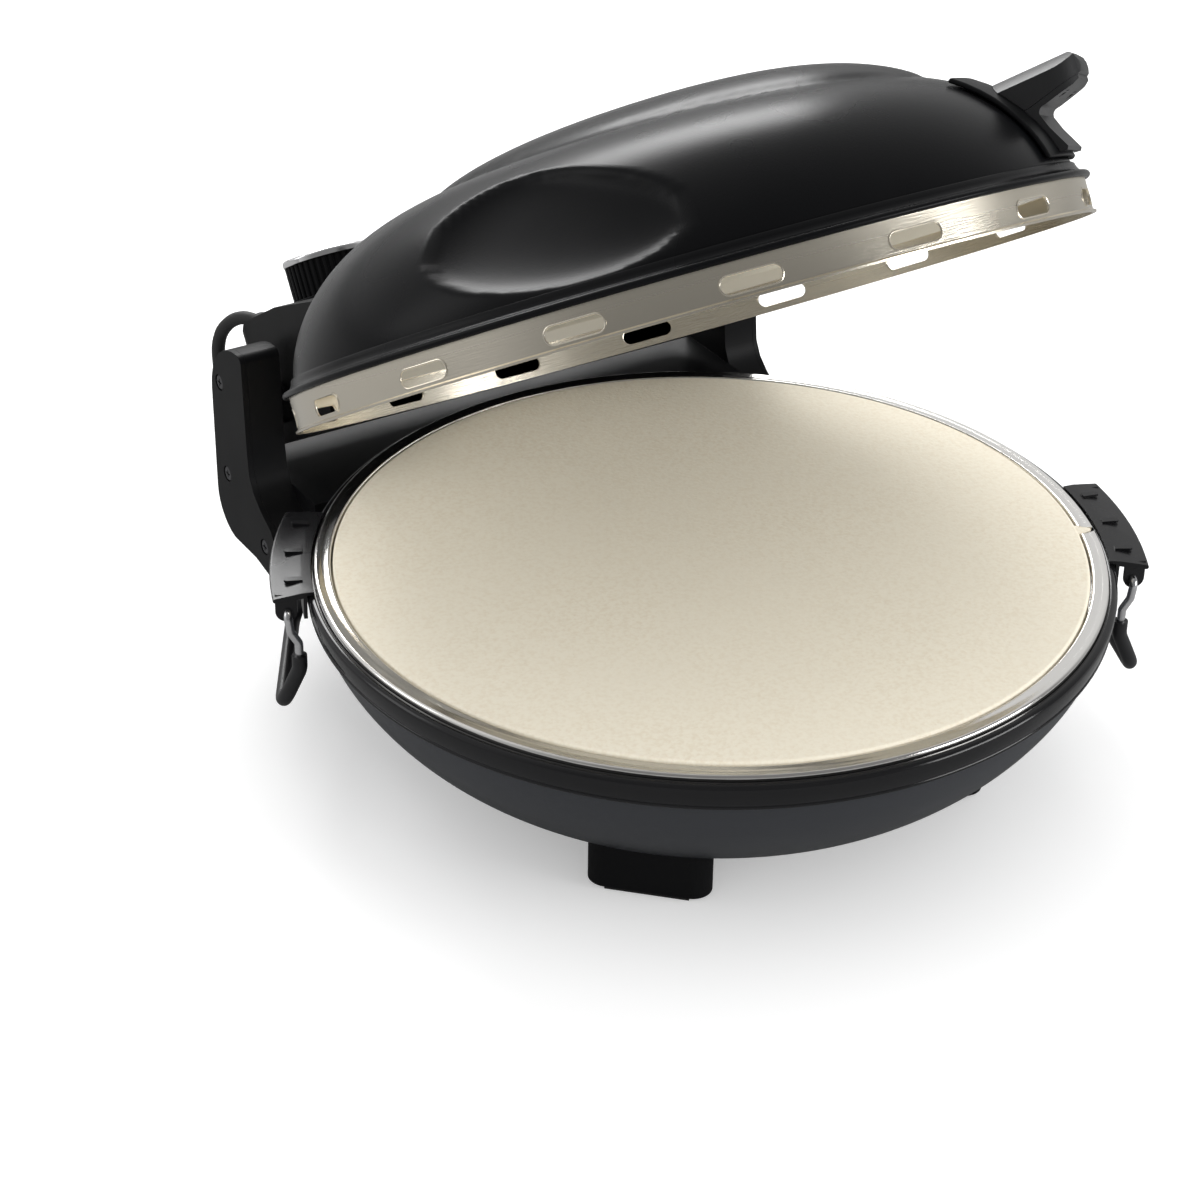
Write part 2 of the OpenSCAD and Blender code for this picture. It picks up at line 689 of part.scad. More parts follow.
module knob_frame() {
    opened() translate([knob_x, knob_y, neck_top + 0.6]) children();
}

module temperature_knob() {
    ribs = 36;
    color("#141518") knob_frame() difference() {
        union() {
            linear_extrude(height = knob_h - 3) polygon([for (k = [0 : 2 * ribs - 1])
                let (r = knob_r - (k % 2 == 0 ? 0 : 0.7)) [r * cos(180 * k / ribs), r * sin(180 * k / ribs)]]);
            cylinder(h = 1.6, r = knob_r + 0.5);
        }
        translate([0, 0, -1]) cylinder(h = knob_h - 5, r = 3);
    }
}

module knob_cap() {
    color("#d9dadb") knob_frame() translate([0, 0, knob_h - 3]) rotate_extrude() polygon(concat(
        [[0, 0], [knob_r + 0.4, 0], [knob_r + 0.4, 1.8]],
        arc(knob_r - 0.8, 1.8, 1.2, 0, 90, 4), [[knob_r - 3, 2.2], [0, 2.2]]));
}

module knob_shaft() {
    color("#b8b9bb") knob_frame() translate([0, 0, -wall - 12]) cylinder(h = knob_h - 6 + wall + 12, r = 3);
}

// ---- lid handle ----

plate_t = 2;
plate_half = 12.5;
grip_half_w = 21;

// Moves to the handle's line: X runs outwards along it
module on_handle_line() {
    opened() rotate(handle_angle) children();
}

// The stretch of the dome's section that the handle's plate lies on
function plate_skin(grow) = [for (a = [81 : -4.5 : 40.5])
    [(dome_r + grow) * pow(sin(a), 0.5), dome_z + (dome_h + grow) * pow(cos(a), 1.2)]];

module handle_plate() {
    color("#191a1c") on_handle_line() rotate(-plate_half) rotate_extrude(angle = 2 * plate_half)
        polygon(concat(plate_skin(0.8), backwards(plate_skin(0.8 + plate_t))));
}

// Outlines of the grip beyond the dome, in distance and height, above and below its parting line
grip_z = dome_z + 41;      // height of the grip's crown at its root
grip_slope = 7.8;
crown_r = 46;
function grip_upper() = concat([[dome_r - 34, grip_z - 19.6], [dome_r - 6.5, grip_z - 13.2],
    [dome_r + 13.6, grip_z - 5.6]],
    arc(dome_r + 8, grip_z - 2.4, 7, -22, 90, 6),
    [[dome_r - 21, grip_z + 1.2], [dome_r - 34, grip_z - 0.4]]);
function grip_lower() = concat([[dome_r - 34, grip_z - 19.8], [dome_r - 6.5, grip_z - 13.4],
    [dome_r + 13.4, grip_z - 5.8], [dome_r + 13.4, grip_z - 7.4], [dome_r + 11, grip_z - 9.2],
    [dome_r - 0.4, grip_z - 13.6]],
    arc(dome_r - 0.9, grip_z - 16.7, 2.9, 100, 185, 4),
    [[dome_r - 1.4, grip_z - 22.5], [dome_r + 3.6, grip_z - 31], [dome_r + 3, grip_z - 32.4],
     [dome_r - 34, grip_z - 32.4]]);

module grip_half(points) {
    difference() {
        intersection() {
            rotate([90, 0, 0]) translate([0, 0, -grip_half_w]) linear_extrude(height = 2 * grip_half_w)
                polygon(points);
            linear_extrude(height = 400) polygon(concat([[60, -grip_half_w]],
                arc(dome_r + 3.4, 12 - grip_half_w, 12, -90, 0),
                arc(dome_r + 3.4, grip_half_w - 12, 12, 0, 90), [[60, grip_half_w]]));
            translate([dome_r - 21, 0, grip_z]) rotate([0, 90 - grip_slope, 0])
                translate([crown_r, 0, -60]) cylinder(h = 160, r = crown_r);
        }
        rotate_extrude() polygon(concat([[0, 0], [dome_r + 1 + plate_t, 0]],
            dome_curve(1 + plate_t, 6), [[0, dome_z + dome_h + 4]]));
    }
}

module handle_grip_top() { color("#1f2023") on_handle_line() grip_half(grip_upper()); }
module grip_screw_places() {
    for (s = [-1, 1]) translate([dome_r + 6, s * 11, grip_z - 10]) children();
}

module handle_grip_bottom() {
    color("#191a1c") on_handle_line() difference() {
        grip_half(grip_lower());
        grip_screw_places() translate([0, 0, -6]) cylinder(h = 6, r = 2.3);
        grip_screw_places() translate([0, 0, -1]) cylinder(h = 6.5, r = 1.3);
    }
}

module handle_screws() {
    color("#9a9a9c") on_handle_line() grip_screw_places() {
        translate([0, 0, -0.8]) cylinder(h = 0.8, r = 2.1);
        cylinder(h = 1, r = 1.2);
    }
}

base_pan();
base_rim();
stone_tray();
pizza_stone();
lower_reflector();
lower_element();
lower_element_clips();
foot(225);  // foot_front_left
foot(315);  // foot_front_right
foot(135);  // foot_rear_left
foot(45);  // foot_rear_right
foot_pads();
foot_screws();
hinge_box();
side_cover_left();
side_cover_right();
side_cover_screws();
box_bottom_cover();
bottom_cover_screws();
hinge_pin_left();
hinge_pin_right();
box_cable_gland();
link_cable();
terminal_block();
bracket_left();
bracket_right();
bracket_rivets();
bail_left();
bail_right();
bail_grip_left();
bail_grip_right();
lid_shell();
lid_rim();
lid_band();
lid_reflector();
upper_element();
upper_element_clips();
rear_housing();
hinge_bush_left();
hinge_bush_right();
lid_cable_gland();
thermostat();
handle_plate();
handle_grip_top();
handle_grip_bottom();
handle_screws();
temperature_knob();
knob_cap();
knob_shaft();
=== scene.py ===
"""Dresses the round pizza oven: finishes, smooth skins and small fittings round its CAD frame.

Sizes are in millimetres and turned to metres where a mesh is made. The lid is worked
out shut, then turned to where it stands open.
"""
from __future__ import annotations

import json
import logging
import math
from dataclasses import dataclass, field, replace
from enum import Enum
from typing import Iterable, Mapping, Sequence

import bmesh
import bpy
from mathutils import Matrix, Vector

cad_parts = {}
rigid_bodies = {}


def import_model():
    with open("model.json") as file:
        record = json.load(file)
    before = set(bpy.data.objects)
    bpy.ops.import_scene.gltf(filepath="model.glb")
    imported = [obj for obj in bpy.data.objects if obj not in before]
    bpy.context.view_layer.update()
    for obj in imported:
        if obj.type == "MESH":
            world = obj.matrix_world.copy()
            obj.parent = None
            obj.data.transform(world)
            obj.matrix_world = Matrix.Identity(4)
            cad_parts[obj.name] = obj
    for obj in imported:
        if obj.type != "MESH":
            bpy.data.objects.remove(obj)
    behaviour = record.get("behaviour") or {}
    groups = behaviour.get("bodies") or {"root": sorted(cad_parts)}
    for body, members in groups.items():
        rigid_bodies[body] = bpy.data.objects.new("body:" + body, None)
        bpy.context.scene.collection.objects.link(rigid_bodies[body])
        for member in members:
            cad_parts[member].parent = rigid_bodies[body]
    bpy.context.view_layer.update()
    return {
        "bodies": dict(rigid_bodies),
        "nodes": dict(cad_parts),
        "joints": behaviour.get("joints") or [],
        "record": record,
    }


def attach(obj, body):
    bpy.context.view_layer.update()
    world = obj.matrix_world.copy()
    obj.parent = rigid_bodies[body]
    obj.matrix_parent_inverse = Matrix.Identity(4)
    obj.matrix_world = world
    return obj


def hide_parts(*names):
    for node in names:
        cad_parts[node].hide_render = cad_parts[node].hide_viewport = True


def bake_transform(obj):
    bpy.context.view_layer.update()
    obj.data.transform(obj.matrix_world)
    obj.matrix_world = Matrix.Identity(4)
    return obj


LOG = logging.getLogger("pizza_oven")
MM = 0.001
WHITE = (1.0, 1.0, 1.0, 1.0)
FRAME: dict = {}
Point2 = tuple[float, float]
Point3 = tuple[float, float, float]
Obj = bpy.types.Object
Node = bpy.types.Node
Socket = bpy.types.NodeSocket
Ring = list[bmesh.types.BMVert]


# ---- sizes ----


@dataclass(frozen=True)
class OvenSizes:
    """The oven's main sizes, as the solids have them."""

    stone_r: float = 155.0
    stone_top: float = 90.0
    tray_in: float = 155.8
    trim_r: float = 162.8
    rim_r: float = 166.5
    band_r: float = 163.0
    band_h: float = 14.0
    dome_r: float = 160.0
    dome_h: float = 62.0
    dome_wall: float = 1.4
    hump_h: float = 12.0
    scallop_depth: float = 11.0
    handle_angle: float = -45.0
    scallop_turn: float = 92.5
    lug_angle: float = -24.6
    hinge_gap: float = 7.5
    hinge_z: float = 108.0
    open_angle: float = 32.0
    knob_x: float = -66.0
    knob_y: float = 182.0
    neck_top: float = 147.0
    knob_r: float = 19.0
    knob_h: float = 20.0
    bail_r: float = 171.5
    bail_z: float = 80.0
    bail_half: float = 35.0
    tab_half: float = 31.0
    wire_r: float = 1.75
    sleeve_r: float = 3.1
    cable_r: float = 3.0

    @property
    def hinge_y(self) -> float:
        """Distance of the hinge axis behind the centre."""
        return self.rim_r + self.hinge_gap

    @property
    def box_back(self) -> float:
        """Distance of the hinge box's back behind the centre."""
        return self.hinge_y + 19.0

    @property
    def lip_z(self) -> float:
        """Height of the steel band's top edge with the lid shut."""
        return self.stone_top + self.band_h

    @property
    def dome_z(self) -> float:
        """Height of the dome's foot with the lid shut."""
        return self.lip_z + 2.0

    @property
    def pan_top(self) -> float:
        """Height at which the pan meets the black rim."""
        return self.stone_top - 14.0

    @property
    def rim_crest(self) -> float:
        """Height of the black rim's top."""
        return self.stone_top - 2.8

    def opened(self) -> Matrix:
        """Gives the turn that opens the lid.

        Returns:
            The turn, in metres, from the shut lid to where it stands open.
        """
        pivot = Vector((0.0, self.hinge_y * MM, self.hinge_z * MM))
        turn = Matrix.Rotation(math.radians(-self.open_angle), 4, "X")
        return Matrix.Translation(pivot) @ turn @ Matrix.Translation(-pivot)


SIZES = OvenSizes()


class Body(Enum):
    """The rigid bodies that pieces ride on."""

    BASE = "base"
    LID = "lid"
    KNOB = "knob"
    BAIL_LEFT = "bail_left"
    BAIL_RIGHT = "bail_right"


# ---- nodes ----


@dataclass
class Nodes:
    """Adds nodes to a tree."""

    tree: bpy.types.NodeTree

    def feed(self, node: Node, inputs: Mapping[int | str, object]) -> Node:
        """Links or sets inputs of a node.

        Args:
            node: The node.
            inputs: For an input's name or number, the socket that feeds it or its value.

        Returns:
            The node.
        """
        for name, value in inputs.items():
            if isinstance(value, Socket):
                self.tree.links.new(value, node.inputs[name])
            else:
                node.inputs[name].default_value = value
        return node

    def add(self, kind: str, inputs: Mapping[int | str, object] | None = None,
            **settings: object) -> Node:
        """Adds a node.

        Args:
            kind: The node's type.
            inputs: What its inputs are fed with.
            settings: The node's own properties.

        Returns:
            The new node.
        """
        node = self.tree.nodes.new(kind)
        for name, value in settings.items():
            setattr(node, name, value)
        return self.feed(node, inputs or {})

    def maths(self, kind: str, *values: object, clamp: bool = False) -> Socket:
        """Adds a Math node, fed with sockets or numbers, and gives its output."""
        return self.add("ShaderNodeMath", dict(enumerate(values)), operation=kind,
                        use_clamp=clamp).outputs[0]

    def between(self, value: Socket, low: object, high: object, start: float = 0.0,
                end: float = 1.0, curve: str = "LINEAR") -> Socket:
        """Adds a Map Range node.

        Args:
            value: What moves the result.
            low: The result where the value is at start, a socket or a number.
            high: The result where the value is at end.
            start: The value's lower bound.
            end: The value's upper bound.
            curve: How the result goes from one to the other.

        Returns:
            The node's output.
        """
        return self.add("ShaderNodeMapRange", {
            "Value": value, "From Min": start, "From Max": end, "To Min": low, "To Max": high,
        }, interpolation_type=curve).outputs["Result"]


# ---- finishes ----


class Grain(Enum):
    """How a finish's fine texture lies."""

    ORANGE_PEEL = "orange peel of sprayed paint"
    MOULDED = "spark-eroded mould grain"
    TURNED = "fine lines round the oven's axis"
    TURNED_LID = "fine lines round the lid's axis"
    STONE = "pressed cordierite"
    SCALE = "heat-scaled tube"
    PLAIN = "polished"


COAT_ROUGHNESS = 0.06
SMOOTHEST = 0.02
RELIEF = 0.0004  # metres
LINE_SPREAD = 0.006  # how little a turned texture changes along its lines
FINE_DETAIL = 4.0
BLOTCH_DETAIL = 3.0
BLOTCH_SCALE = 14.0
BLOTCHES = (0.3, 0.7)  # the part of the broad texture that the gloss follows
FLECKS = (0.42, 0.72)  # the part of the fine texture that shows as flecks
LIGHTER = (1.25, 0.002)  # gain and lift of the second colour where a finish has no tint
PORE_SCALE = 420.0
PORE_DEPTH = 0.35


@dataclass(frozen=True)
class Finish:
    """A surface finish, its slot in the record and the node material that shows it."""

    name: str
    slot: str
    colour: Point3
    roughness: float
    grain: Grain
    metallic: float = 0.0
    spread: float = 0.05
    bump: float = 0.1
    scale: float = 900.0
    tint: Point3 | None = None
    coat: float = 0.0
    specular: float = 0.5

    def material(self) -> bpy.types.Material:
        """Builds the material, or finds it if it is there already.

        Returns:
            The material.
        """
        found = bpy.data.materials.get(self.name)
        if found:
            return found
        mat = bpy.data.materials.new(self.name)
        mat.use_nodes = True
        nodes, shader = Nodes(mat.node_tree), mat.node_tree.nodes["Principled BSDF"]
        # The colour and roughness set here stay for a reader that doesn't follow the nodes.
        nodes.feed(shader, {
            "Base Color": (*self.colour, 1.0), "Metallic": self.metallic,
            "Roughness": self.roughness, "Specular IOR Level": self.specular,
            "Coat Weight": self.coat, "Coat Roughness": COAT_ROUGHNESS})
        coords = nodes.add("ShaderNodeTexCoord").outputs["Object"]
        if self.grain in (Grain.TURNED, Grain.TURNED_LID):
            coords = self._wound(nodes, coords)
        fine, broad = (
            nodes.add("ShaderNodeTexNoise", {
                "Vector": coords, "Scale": scale, "Detail": detail}).outputs["Fac"]
            for scale, detail in ((self.scale, FINE_DETAIL), (BLOTCH_SCALE, BLOTCH_DETAIL)))
        nodes.feed(shader, {
            "Base Color": self._colour(nodes, fine, broad),
            "Roughness": nodes.between(broad, max(SMOOTHEST, self.roughness - self.spread),
                                       min(1.0, self.roughness + self.spread), *BLOTCHES),
            "Normal": self._relief(nodes, fine, coords)})
        return mat

    def _wound(self, nodes: Nodes, coords: Socket) -> Socket:
        """Winds coordinates round the oven's or the lid's axis.

        Args:
            nodes: The material's nodes.
            coords: Object coordinates, which are the frame's metres.

        Returns:
            Turn, radius and height, in which a fine texture draws out into lines.
        """
        if self.grain is Grain.TURNED_LID:
            lid = SIZES.opened()
            coords = nodes.add("ShaderNodeMapping", {
                "Location": lid.to_translation(), "Rotation": lid.to_euler(), "Vector": coords,
            }, vector_type="TEXTURE").outputs["Vector"]
        parts = nodes.add("ShaderNodeSeparateXYZ", {0: coords}).outputs
        squares = [nodes.maths("MULTIPLY", parts[axis], parts[axis]) for axis in "XY"]
        turn = nodes.maths("ARCTAN2", parts["Y"], parts["X"])
        return nodes.add("ShaderNodeCombineXYZ", {
            "X": nodes.maths("MULTIPLY", turn, LINE_SPREAD),
            "Y": nodes.maths("SQRT", nodes.maths("ADD", *squares)), "Z": parts["Z"],
        }).outputs["Vector"]

    def _colour(self, nodes: Nodes, fine: Socket, broad: Socket) -> Socket:
        """Varies the colour between the finish's own and its tint.

        Args:
            nodes: The material's nodes.
            fine: The fine texture.
            broad: The broad texture.

        Returns:
            The colour.
        """
        gain, lift = LIGHTER
        other = self.tint or tuple(min(1.0, c * gain + lift) for c in self.colour)
        share = broad
        if self.grain in (Grain.STONE, Grain.SCALE):
            ramp = nodes.add("ShaderNodeValToRGB", {"Fac": fine})
            for stop, position in zip(ramp.color_ramp.elements, FLECKS):
                stop.position = position
            share = nodes.maths("MULTIPLY", ramp.outputs["Color"], broad, clamp=True)
        return nodes.add("ShaderNodeMix", {
            "A": (*self.colour, 1.0), "B": (*other, 1.0), "Factor": share,
        }, data_type="RGBA").outputs["Result"]

    def _relief(self, nodes: Nodes, fine: Socket, coords: Socket) -> Socket:
        """Raises the fine texture, with pores in the stone.

        Args:
            nodes: The material's nodes.
            fine: The fine texture.
            coords: The coordinates that it lies in.

        Returns:
            The bumped normal.
        """
        height = fine
        if self.grain is Grain.STONE:
            pores = nodes.add("ShaderNodeTexVoronoi", {"Scale": PORE_SCALE, "Vector": coords})
            pit = nodes.maths("MINIMUM", pores.outputs["Distance"], PORE_DEPTH)
            height = nodes.maths("ADD", pit, fine)
        return nodes.add("ShaderNodeBump", {
            "Strength": self.bump, "Distance": RELIEF, "Height": height}).outputs["Normal"]


class Finishes:
    """The oven's finishes, one for each of its real ones."""

    LID_PAINT = Finish(
        "lid satin black paint", "lid_black", (0.0030, 0.0031, 0.0036), 0.28, Grain.ORANGE_PEEL,
        spread=0.04, scale=1300.0, specular=0.11)
    LID_PLASTIC = Finish(
        "lid housing black plastic", "lid_plastic", (0.0042, 0.0043, 0.0047), 0.42, Grain.MOULDED,
        spread=0.04, scale=1800.0, specular=0.12)
    HANDLE_PLASTIC = replace(
        LID_PLASTIC, name="handle black plastic", colour=(0.0120, 0.0122, 0.0130),
        roughness=0.40, specular=0.35)
    PAN_PAINT = Finish(
        "pan satin black paint", "pan_black", (0.0165, 0.0185, 0.0230), 0.34, Grain.ORANGE_PEEL,
        bump=0.08, scale=1100.0, specular=0.75)
    RIM_ENAMEL = Finish(
        "rim gloss black enamel", "gloss_black", (0.006, 0.006, 0.0066), 0.13, Grain.ORANGE_PEEL,
        spread=0.04, bump=0.03, scale=500.0, coat=0.1, specular=0.3)
    TRAY_STEEL = Finish(
        "polished tray steel", "steel", (0.80, 0.785, 0.76), 0.14, Grain.TURNED,
        metallic=1.0, bump=0.06, scale=2400.0)
    # The band's beige colour is partly the steel's own and partly a painted warm reflection of the
    # stone and pizza.
    BAND_STEEL_PAINTED_REFLECTION = Finish(
        "brushed band steel", "steel", (0.74, 0.69, 0.585), 0.24, Grain.TURNED_LID,
        metallic=1.0, spread=0.07, bump=0.14, scale=2400.0)
    STONE = Finish(
        "pressed baking stone", "stone", (0.95, 0.885, 0.735), 0.86, Grain.STONE,
        bump=0.35, scale=650.0, tint=(0.84, 0.74, 0.57))
    REFLECTOR = Finish(
        "aluminised reflector", "reflector", (0.70, 0.70, 0.69), 0.30, Grain.TURNED_LID,
        metallic=1.0, spread=0.08, scale=1400.0)
    PAN_REFLECTOR = replace(REFLECTOR, name="aluminised pan reflector", grain=Grain.TURNED)
    ELEMENT = Finish(
        "heat-scaled heating tube", "element", (0.10, 0.090, 0.083), 0.52, Grain.SCALE,
        metallic=0.75, spread=0.12, bump=0.30, tint=(0.22, 0.17, 0.13))
    BLACK_PLASTIC = Finish(
        "black moulded plastic", "black_plastic", (0.0040, 0.0041, 0.0046), 0.45, Grain.MOULDED,
        bump=0.12, scale=1900.0, specular=0.12)
    BRACKET_PAINT = Finish(
        "bracket black enamel", "pan_black", (0.0055, 0.0055, 0.0062), 0.28, Grain.ORANGE_PEEL,
        bump=0.06, specular=0.35)
    SLEEVE = Finish(
        "bail grip sleeve", "black_plastic", (0.008, 0.008, 0.009), 0.38, Grain.MOULDED,
        bump=0.08, scale=1500.0)
    RUBBER = Finish(
        "black rubber", "rubber", (0.012, 0.012, 0.012), 0.66, Grain.MOULDED,
        spread=0.06, bump=0.20, scale=1200.0)
    WIRE_STEEL = Finish(
        "drawn wire steel", "wire_steel", (0.72, 0.72, 0.73), 0.24, Grain.PLAIN,
        metallic=1.0, spread=0.08, bump=0.08, scale=1600.0)
    SCREW_STEEL = Finish(
        "zinc-plated screw", "screw_steel", (0.62, 0.62, 0.60), 0.34, Grain.PLAIN,
        metallic=1.0, spread=0.08, scale=1800.0)
    DARK_SCREW = replace(
        SCREW_STEEL, name="blackened screw", slot="dark_screw", colour=(0.060, 0.060, 0.064),
        roughness=0.36, metallic=0.8)
    CHROME = Finish(
        "polished chrome", "chrome", (0.80, 0.80, 0.81), 0.09, Grain.PLAIN,
        metallic=1.0, spread=0.03, bump=0.02, scale=800.0)
    CERAMIC = Finish(
        "glazed steatite", "ceramic", (0.78, 0.76, 0.70), 0.38, Grain.MOULDED, spread=0.08)


# ---- lines ----


STRAIGHT = math.radians(176.0)
BEND_SHARE = 0.48  # the part of a side that a bend may take up


def arc(centre: Point2, radius: float, start: int, end: int, step: int) -> list[Point2]:
    """Gives an arc's points, a step apart from its start angle to its end angle, in degrees."""
    return [(centre[0] + radius * math.cos(a), centre[1] + radius * math.sin(a))
            for a in map(math.radians, range(start, end + 1, step))]


def turns(count: int) -> list[float]:
    """Gives evenly spaced angles round a circle, in radians."""
    return [math.tau * k / count for k in range(count)]


def rounded_line(points: Sequence[Vector], radius: float, steps: int = 8) -> list[Vector]:
    """Bends the corners of a line to a radius.

    Args:
        points: The corners, in metres.
        radius: The bend's radius, in metres.
        steps: How many stations lie on each bend.

    Returns:
        The points of the bent line.
    """
    out = [points[0]]
    for before, corner, after in zip(points, points[1:], points[2:]):
        a, b = (before - corner), (after - corner)
        angle = a.angle(b)
        if angle > STRAIGHT:
            out.append(corner)
            continue
        reach = min(radius / math.tan(angle / 2), *(BEND_SHARE * side.length for side in (a, b)))
        start, end = corner + a.normalized() * reach, corner + b.normalized() * reach
        for t in (k / steps for k in range(steps + 1)):
            out.append(start * (1 - t) ** 2 + corner * 2 * t * (1 - t) + end * t ** 2)
    return out + [points[-1]]


# ---- meshes ----


POLE = 1e-6  # a radius, in millimetres, under which a ring is one point
MERGE = 2e-6  # metres
FLAT = math.radians(0.6)
ROUNDED = math.radians(28.0)  # an edge that turns by more is rounded over
CORNER = math.radians(60.0)
END_MARGIN = 0.1  # millimetres
END_SEGMENTS = 6
FACE_WEIGHT = 80


def placed(name: str, data: bpy.types.ID) -> Obj:
    """Makes an object and links it to the scene.

    Args:
        name: The object's name.
        data: Its mesh, lamp or camera.

    Returns:
        The new object.
    """
    obj = bpy.data.objects.new(name, data)
    bpy.context.scene.collection.objects.link(obj)
    return obj


def baked(work: Obj, name: str, sharp: float) -> Obj:
    """Turns an object with modifiers into a plain one, and removes the first.

    Args:
        work: The object with its modifiers.
        name: The new object's name.
        sharp: The angle, in degrees, over which an edge stays crisp.

    Returns:
        The new object.
    """
    bpy.context.view_layer.update()
    graph = bpy.context.evaluated_depsgraph_get()
    mesh = bpy.data.meshes.new_from_object(work.evaluated_get(graph), depsgraph=graph)
    bpy.data.objects.remove(work)
    mesh.name = name
    mesh.shade_smooth()
    mesh.set_sharp_from_angle(angle=math.radians(sharp))
    return placed(name, mesh)


def combined(base: Obj, tool: Obj, operation: str, sharp: float = 35.0) -> Obj:
    """Makes one body from two, such as a ring less a wedge; both are used up.

    Args:
        base: The body that keeps its name.
        tool: The body that is added or taken away.
        operation: UNION or DIFFERENCE.
        sharp: The angle, in degrees, over which an edge stays crisp.

    Returns:
        The new object.
    """
    name = base.name
    base.name = name + "_work"
    mod = base.modifiers.new("combination", "BOOLEAN")
    mod.operation, mod.solver, mod.object = operation, "EXACT", tool
    done = baked(base, name, sharp)
    bpy.data.objects.remove(tool)
    return done


def softened_copy(node: str, bevel: float, segments: int = 3, ends: float = 0.0) -> Obj:
    """Copies a CAD node's shape with its edges rounded over.

    Args:
        node: The CAD node's name.
        bevel: The width of the rounding, in millimetres.
        segments: How many faces lie across the rounding.
        ends: A broader rounding, in millimetres, round the two ends across X.

    Returns:
        A new object that can stand for the node.
    """
    mesh = FRAME["nodes"][node].data.copy()
    bm = bmesh.new()
    bm.from_mesh(mesh)
    bmesh.ops.remove_doubles(bm, verts=bm.verts, dist=MERGE)
    bmesh.ops.dissolve_limit(bm, angle_limit=FLAT, verts=bm.verts, edges=bm.edges)
    if ends > 0.0:
        reach = max(abs(v.co.x) for v in bm.verts) - END_MARGIN * MM
        edges = [e for e in bm.edges if all(abs(v.co.x) > reach for v in e.verts)
                 and e.calc_face_angle(0.0) > CORNER]
        bmesh.ops.bevel(bm, geom=edges, offset=ends * MM, segments=END_SEGMENTS, profile=0.5,
                        affect="EDGES", clamp_overlap=True)
    mesh.clear_geometry()
    mesh.materials.clear()
    bm.to_mesh(mesh)
    bm.free()
    mesh.shade_smooth()
    work = placed(node + "_work", mesh)
    mod = work.modifiers.new("edge rounding", "BEVEL")
    mod.width, mod.segments = bevel * MM, segments
    mod.limit_method, mod.angle_limit = "ANGLE", ROUNDED
    mod.use_clamp_overlap = True
    work.modifiers.new("face-weighted normals", "WEIGHTED_NORMAL").weight = FACE_WEIGHT
    return baked(work, node + "_skin", sharp=180.0)


@dataclass
class Skin:
    """A mesh in the making, which ends as an object with the same name.

    The matrix says where it goes, in metres. Edges that turn by more than the sharp
    angle, in degrees, stay crisp.
    """

    name: str
    matrix: Matrix | None = None
    sharp: float = 35.0
    bm: bmesh.types.BMesh = field(default_factory=bmesh.new)

    def ring(self, points: Iterable[Point3]) -> Ring:
        """Adds points, given in millimetres."""
        return [self.bm.verts.new([c * MM for c in point]) for point in points]

    def hoop(self, centre: Vector, radius: float, side: Vector, other: Vector,
             count: int) -> Ring:
        """Adds a ring of points, in metres, round a centre in the plane of two directions."""
        return [self.bm.verts.new(centre + radius * (side * math.cos(a) + other * math.sin(a)))
                for a in turns(count)]

    def cover(self, rings: Sequence[Ring], closed: bool = False, capped: bool = False) -> None:
        """Adds the faces between rings of points, leaving out those with no area.

        Args:
            rings: Rings with the same number of points.
            closed: Whether the last ring joins the first.
            capped: Whether the first and the last ring are filled.
        """
        for near, far in zip(rings, rings[1:] + rings[:1] if closed else rings[1:]):
            for around in zip(near, near[1:] + near[:1], far[1:] + far[:1], far):
                corners = list(dict.fromkeys(around))
                if len(corners) > 2:
                    self.bm.faces.new(corners)
        if capped:
            self.bm.faces.new(rings[0][::-1])
            self.bm.faces.new(rings[-1])

    def done(self) -> Obj:
        """Ends the mesh, smooth and with its faces outwards.

        Returns:
            The new object.
        """
        if self.matrix:
            bmesh.ops.transform(self.bm, matrix=self.matrix, verts=self.bm.verts)
        bmesh.ops.recalc_face_normals(self.bm, faces=self.bm.faces)
        mesh = bpy.data.meshes.new(self.name)
        self.bm.to_mesh(mesh)
        self.bm.free()
        mesh.shade_smooth()
        mesh.set_sharp_from_angle(angle=math.radians(self.sharp))
        return placed(self.name, mesh)

    def turned(self, profile: Iterable[Point2], steps: int = 288) -> Obj:
        """Turns a closed half section round Z.

        Args:
            profile: Radius and height of each point, in millimetres.
            steps: How many stations lie round the axis.

        Returns:
            The new object.
        """
        rings: list[Ring] = []
        for r, z in profile:
            points = [(r * math.cos(a), r * math.sin(a), z) for a in turns(steps)]
            rings.append(self.ring(points) if r > POLE else self.ring(points[:1]) * steps)
        self.cover(rings, closed=True)
        return self.done()

    def bar(self, line: Sequence[Vector], radius: float, sides: int) -> Obj:
        """Makes a round bar along a line of points, closed at both ends.

        Args:
            line: The centre line, in metres.
            radius: The bar's radius, in millimetres.
            sides: How many faces lie round it.

        Returns:
            The new object.
        """
        rings: list[Ring] = []
        side = (line[1] - line[0]).normalized().orthogonal()
        for before, p, after in zip([line[0], *line], line, [*line[1:], line[-1]]):
            ahead = (after - before).normalized()
            side = (side - ahead * side.dot(ahead)).normalized()
            rings.append(self.hoop(p, radius * MM, side, ahead.cross(side), sides))
        self.cover(rings, capped=True)
        return self.done()

    def prism(self, plan: Sequence[Point2], low: float, high: float) -> Obj:
        """Makes an upright bar, in millimetres, from its plan and its lowest and highest level."""
        self.cover([self.ring((x, y, z) for x, y in plan) for z in (low, high)], capped=True)
        return self.done()


# ---- geometry nodes ----


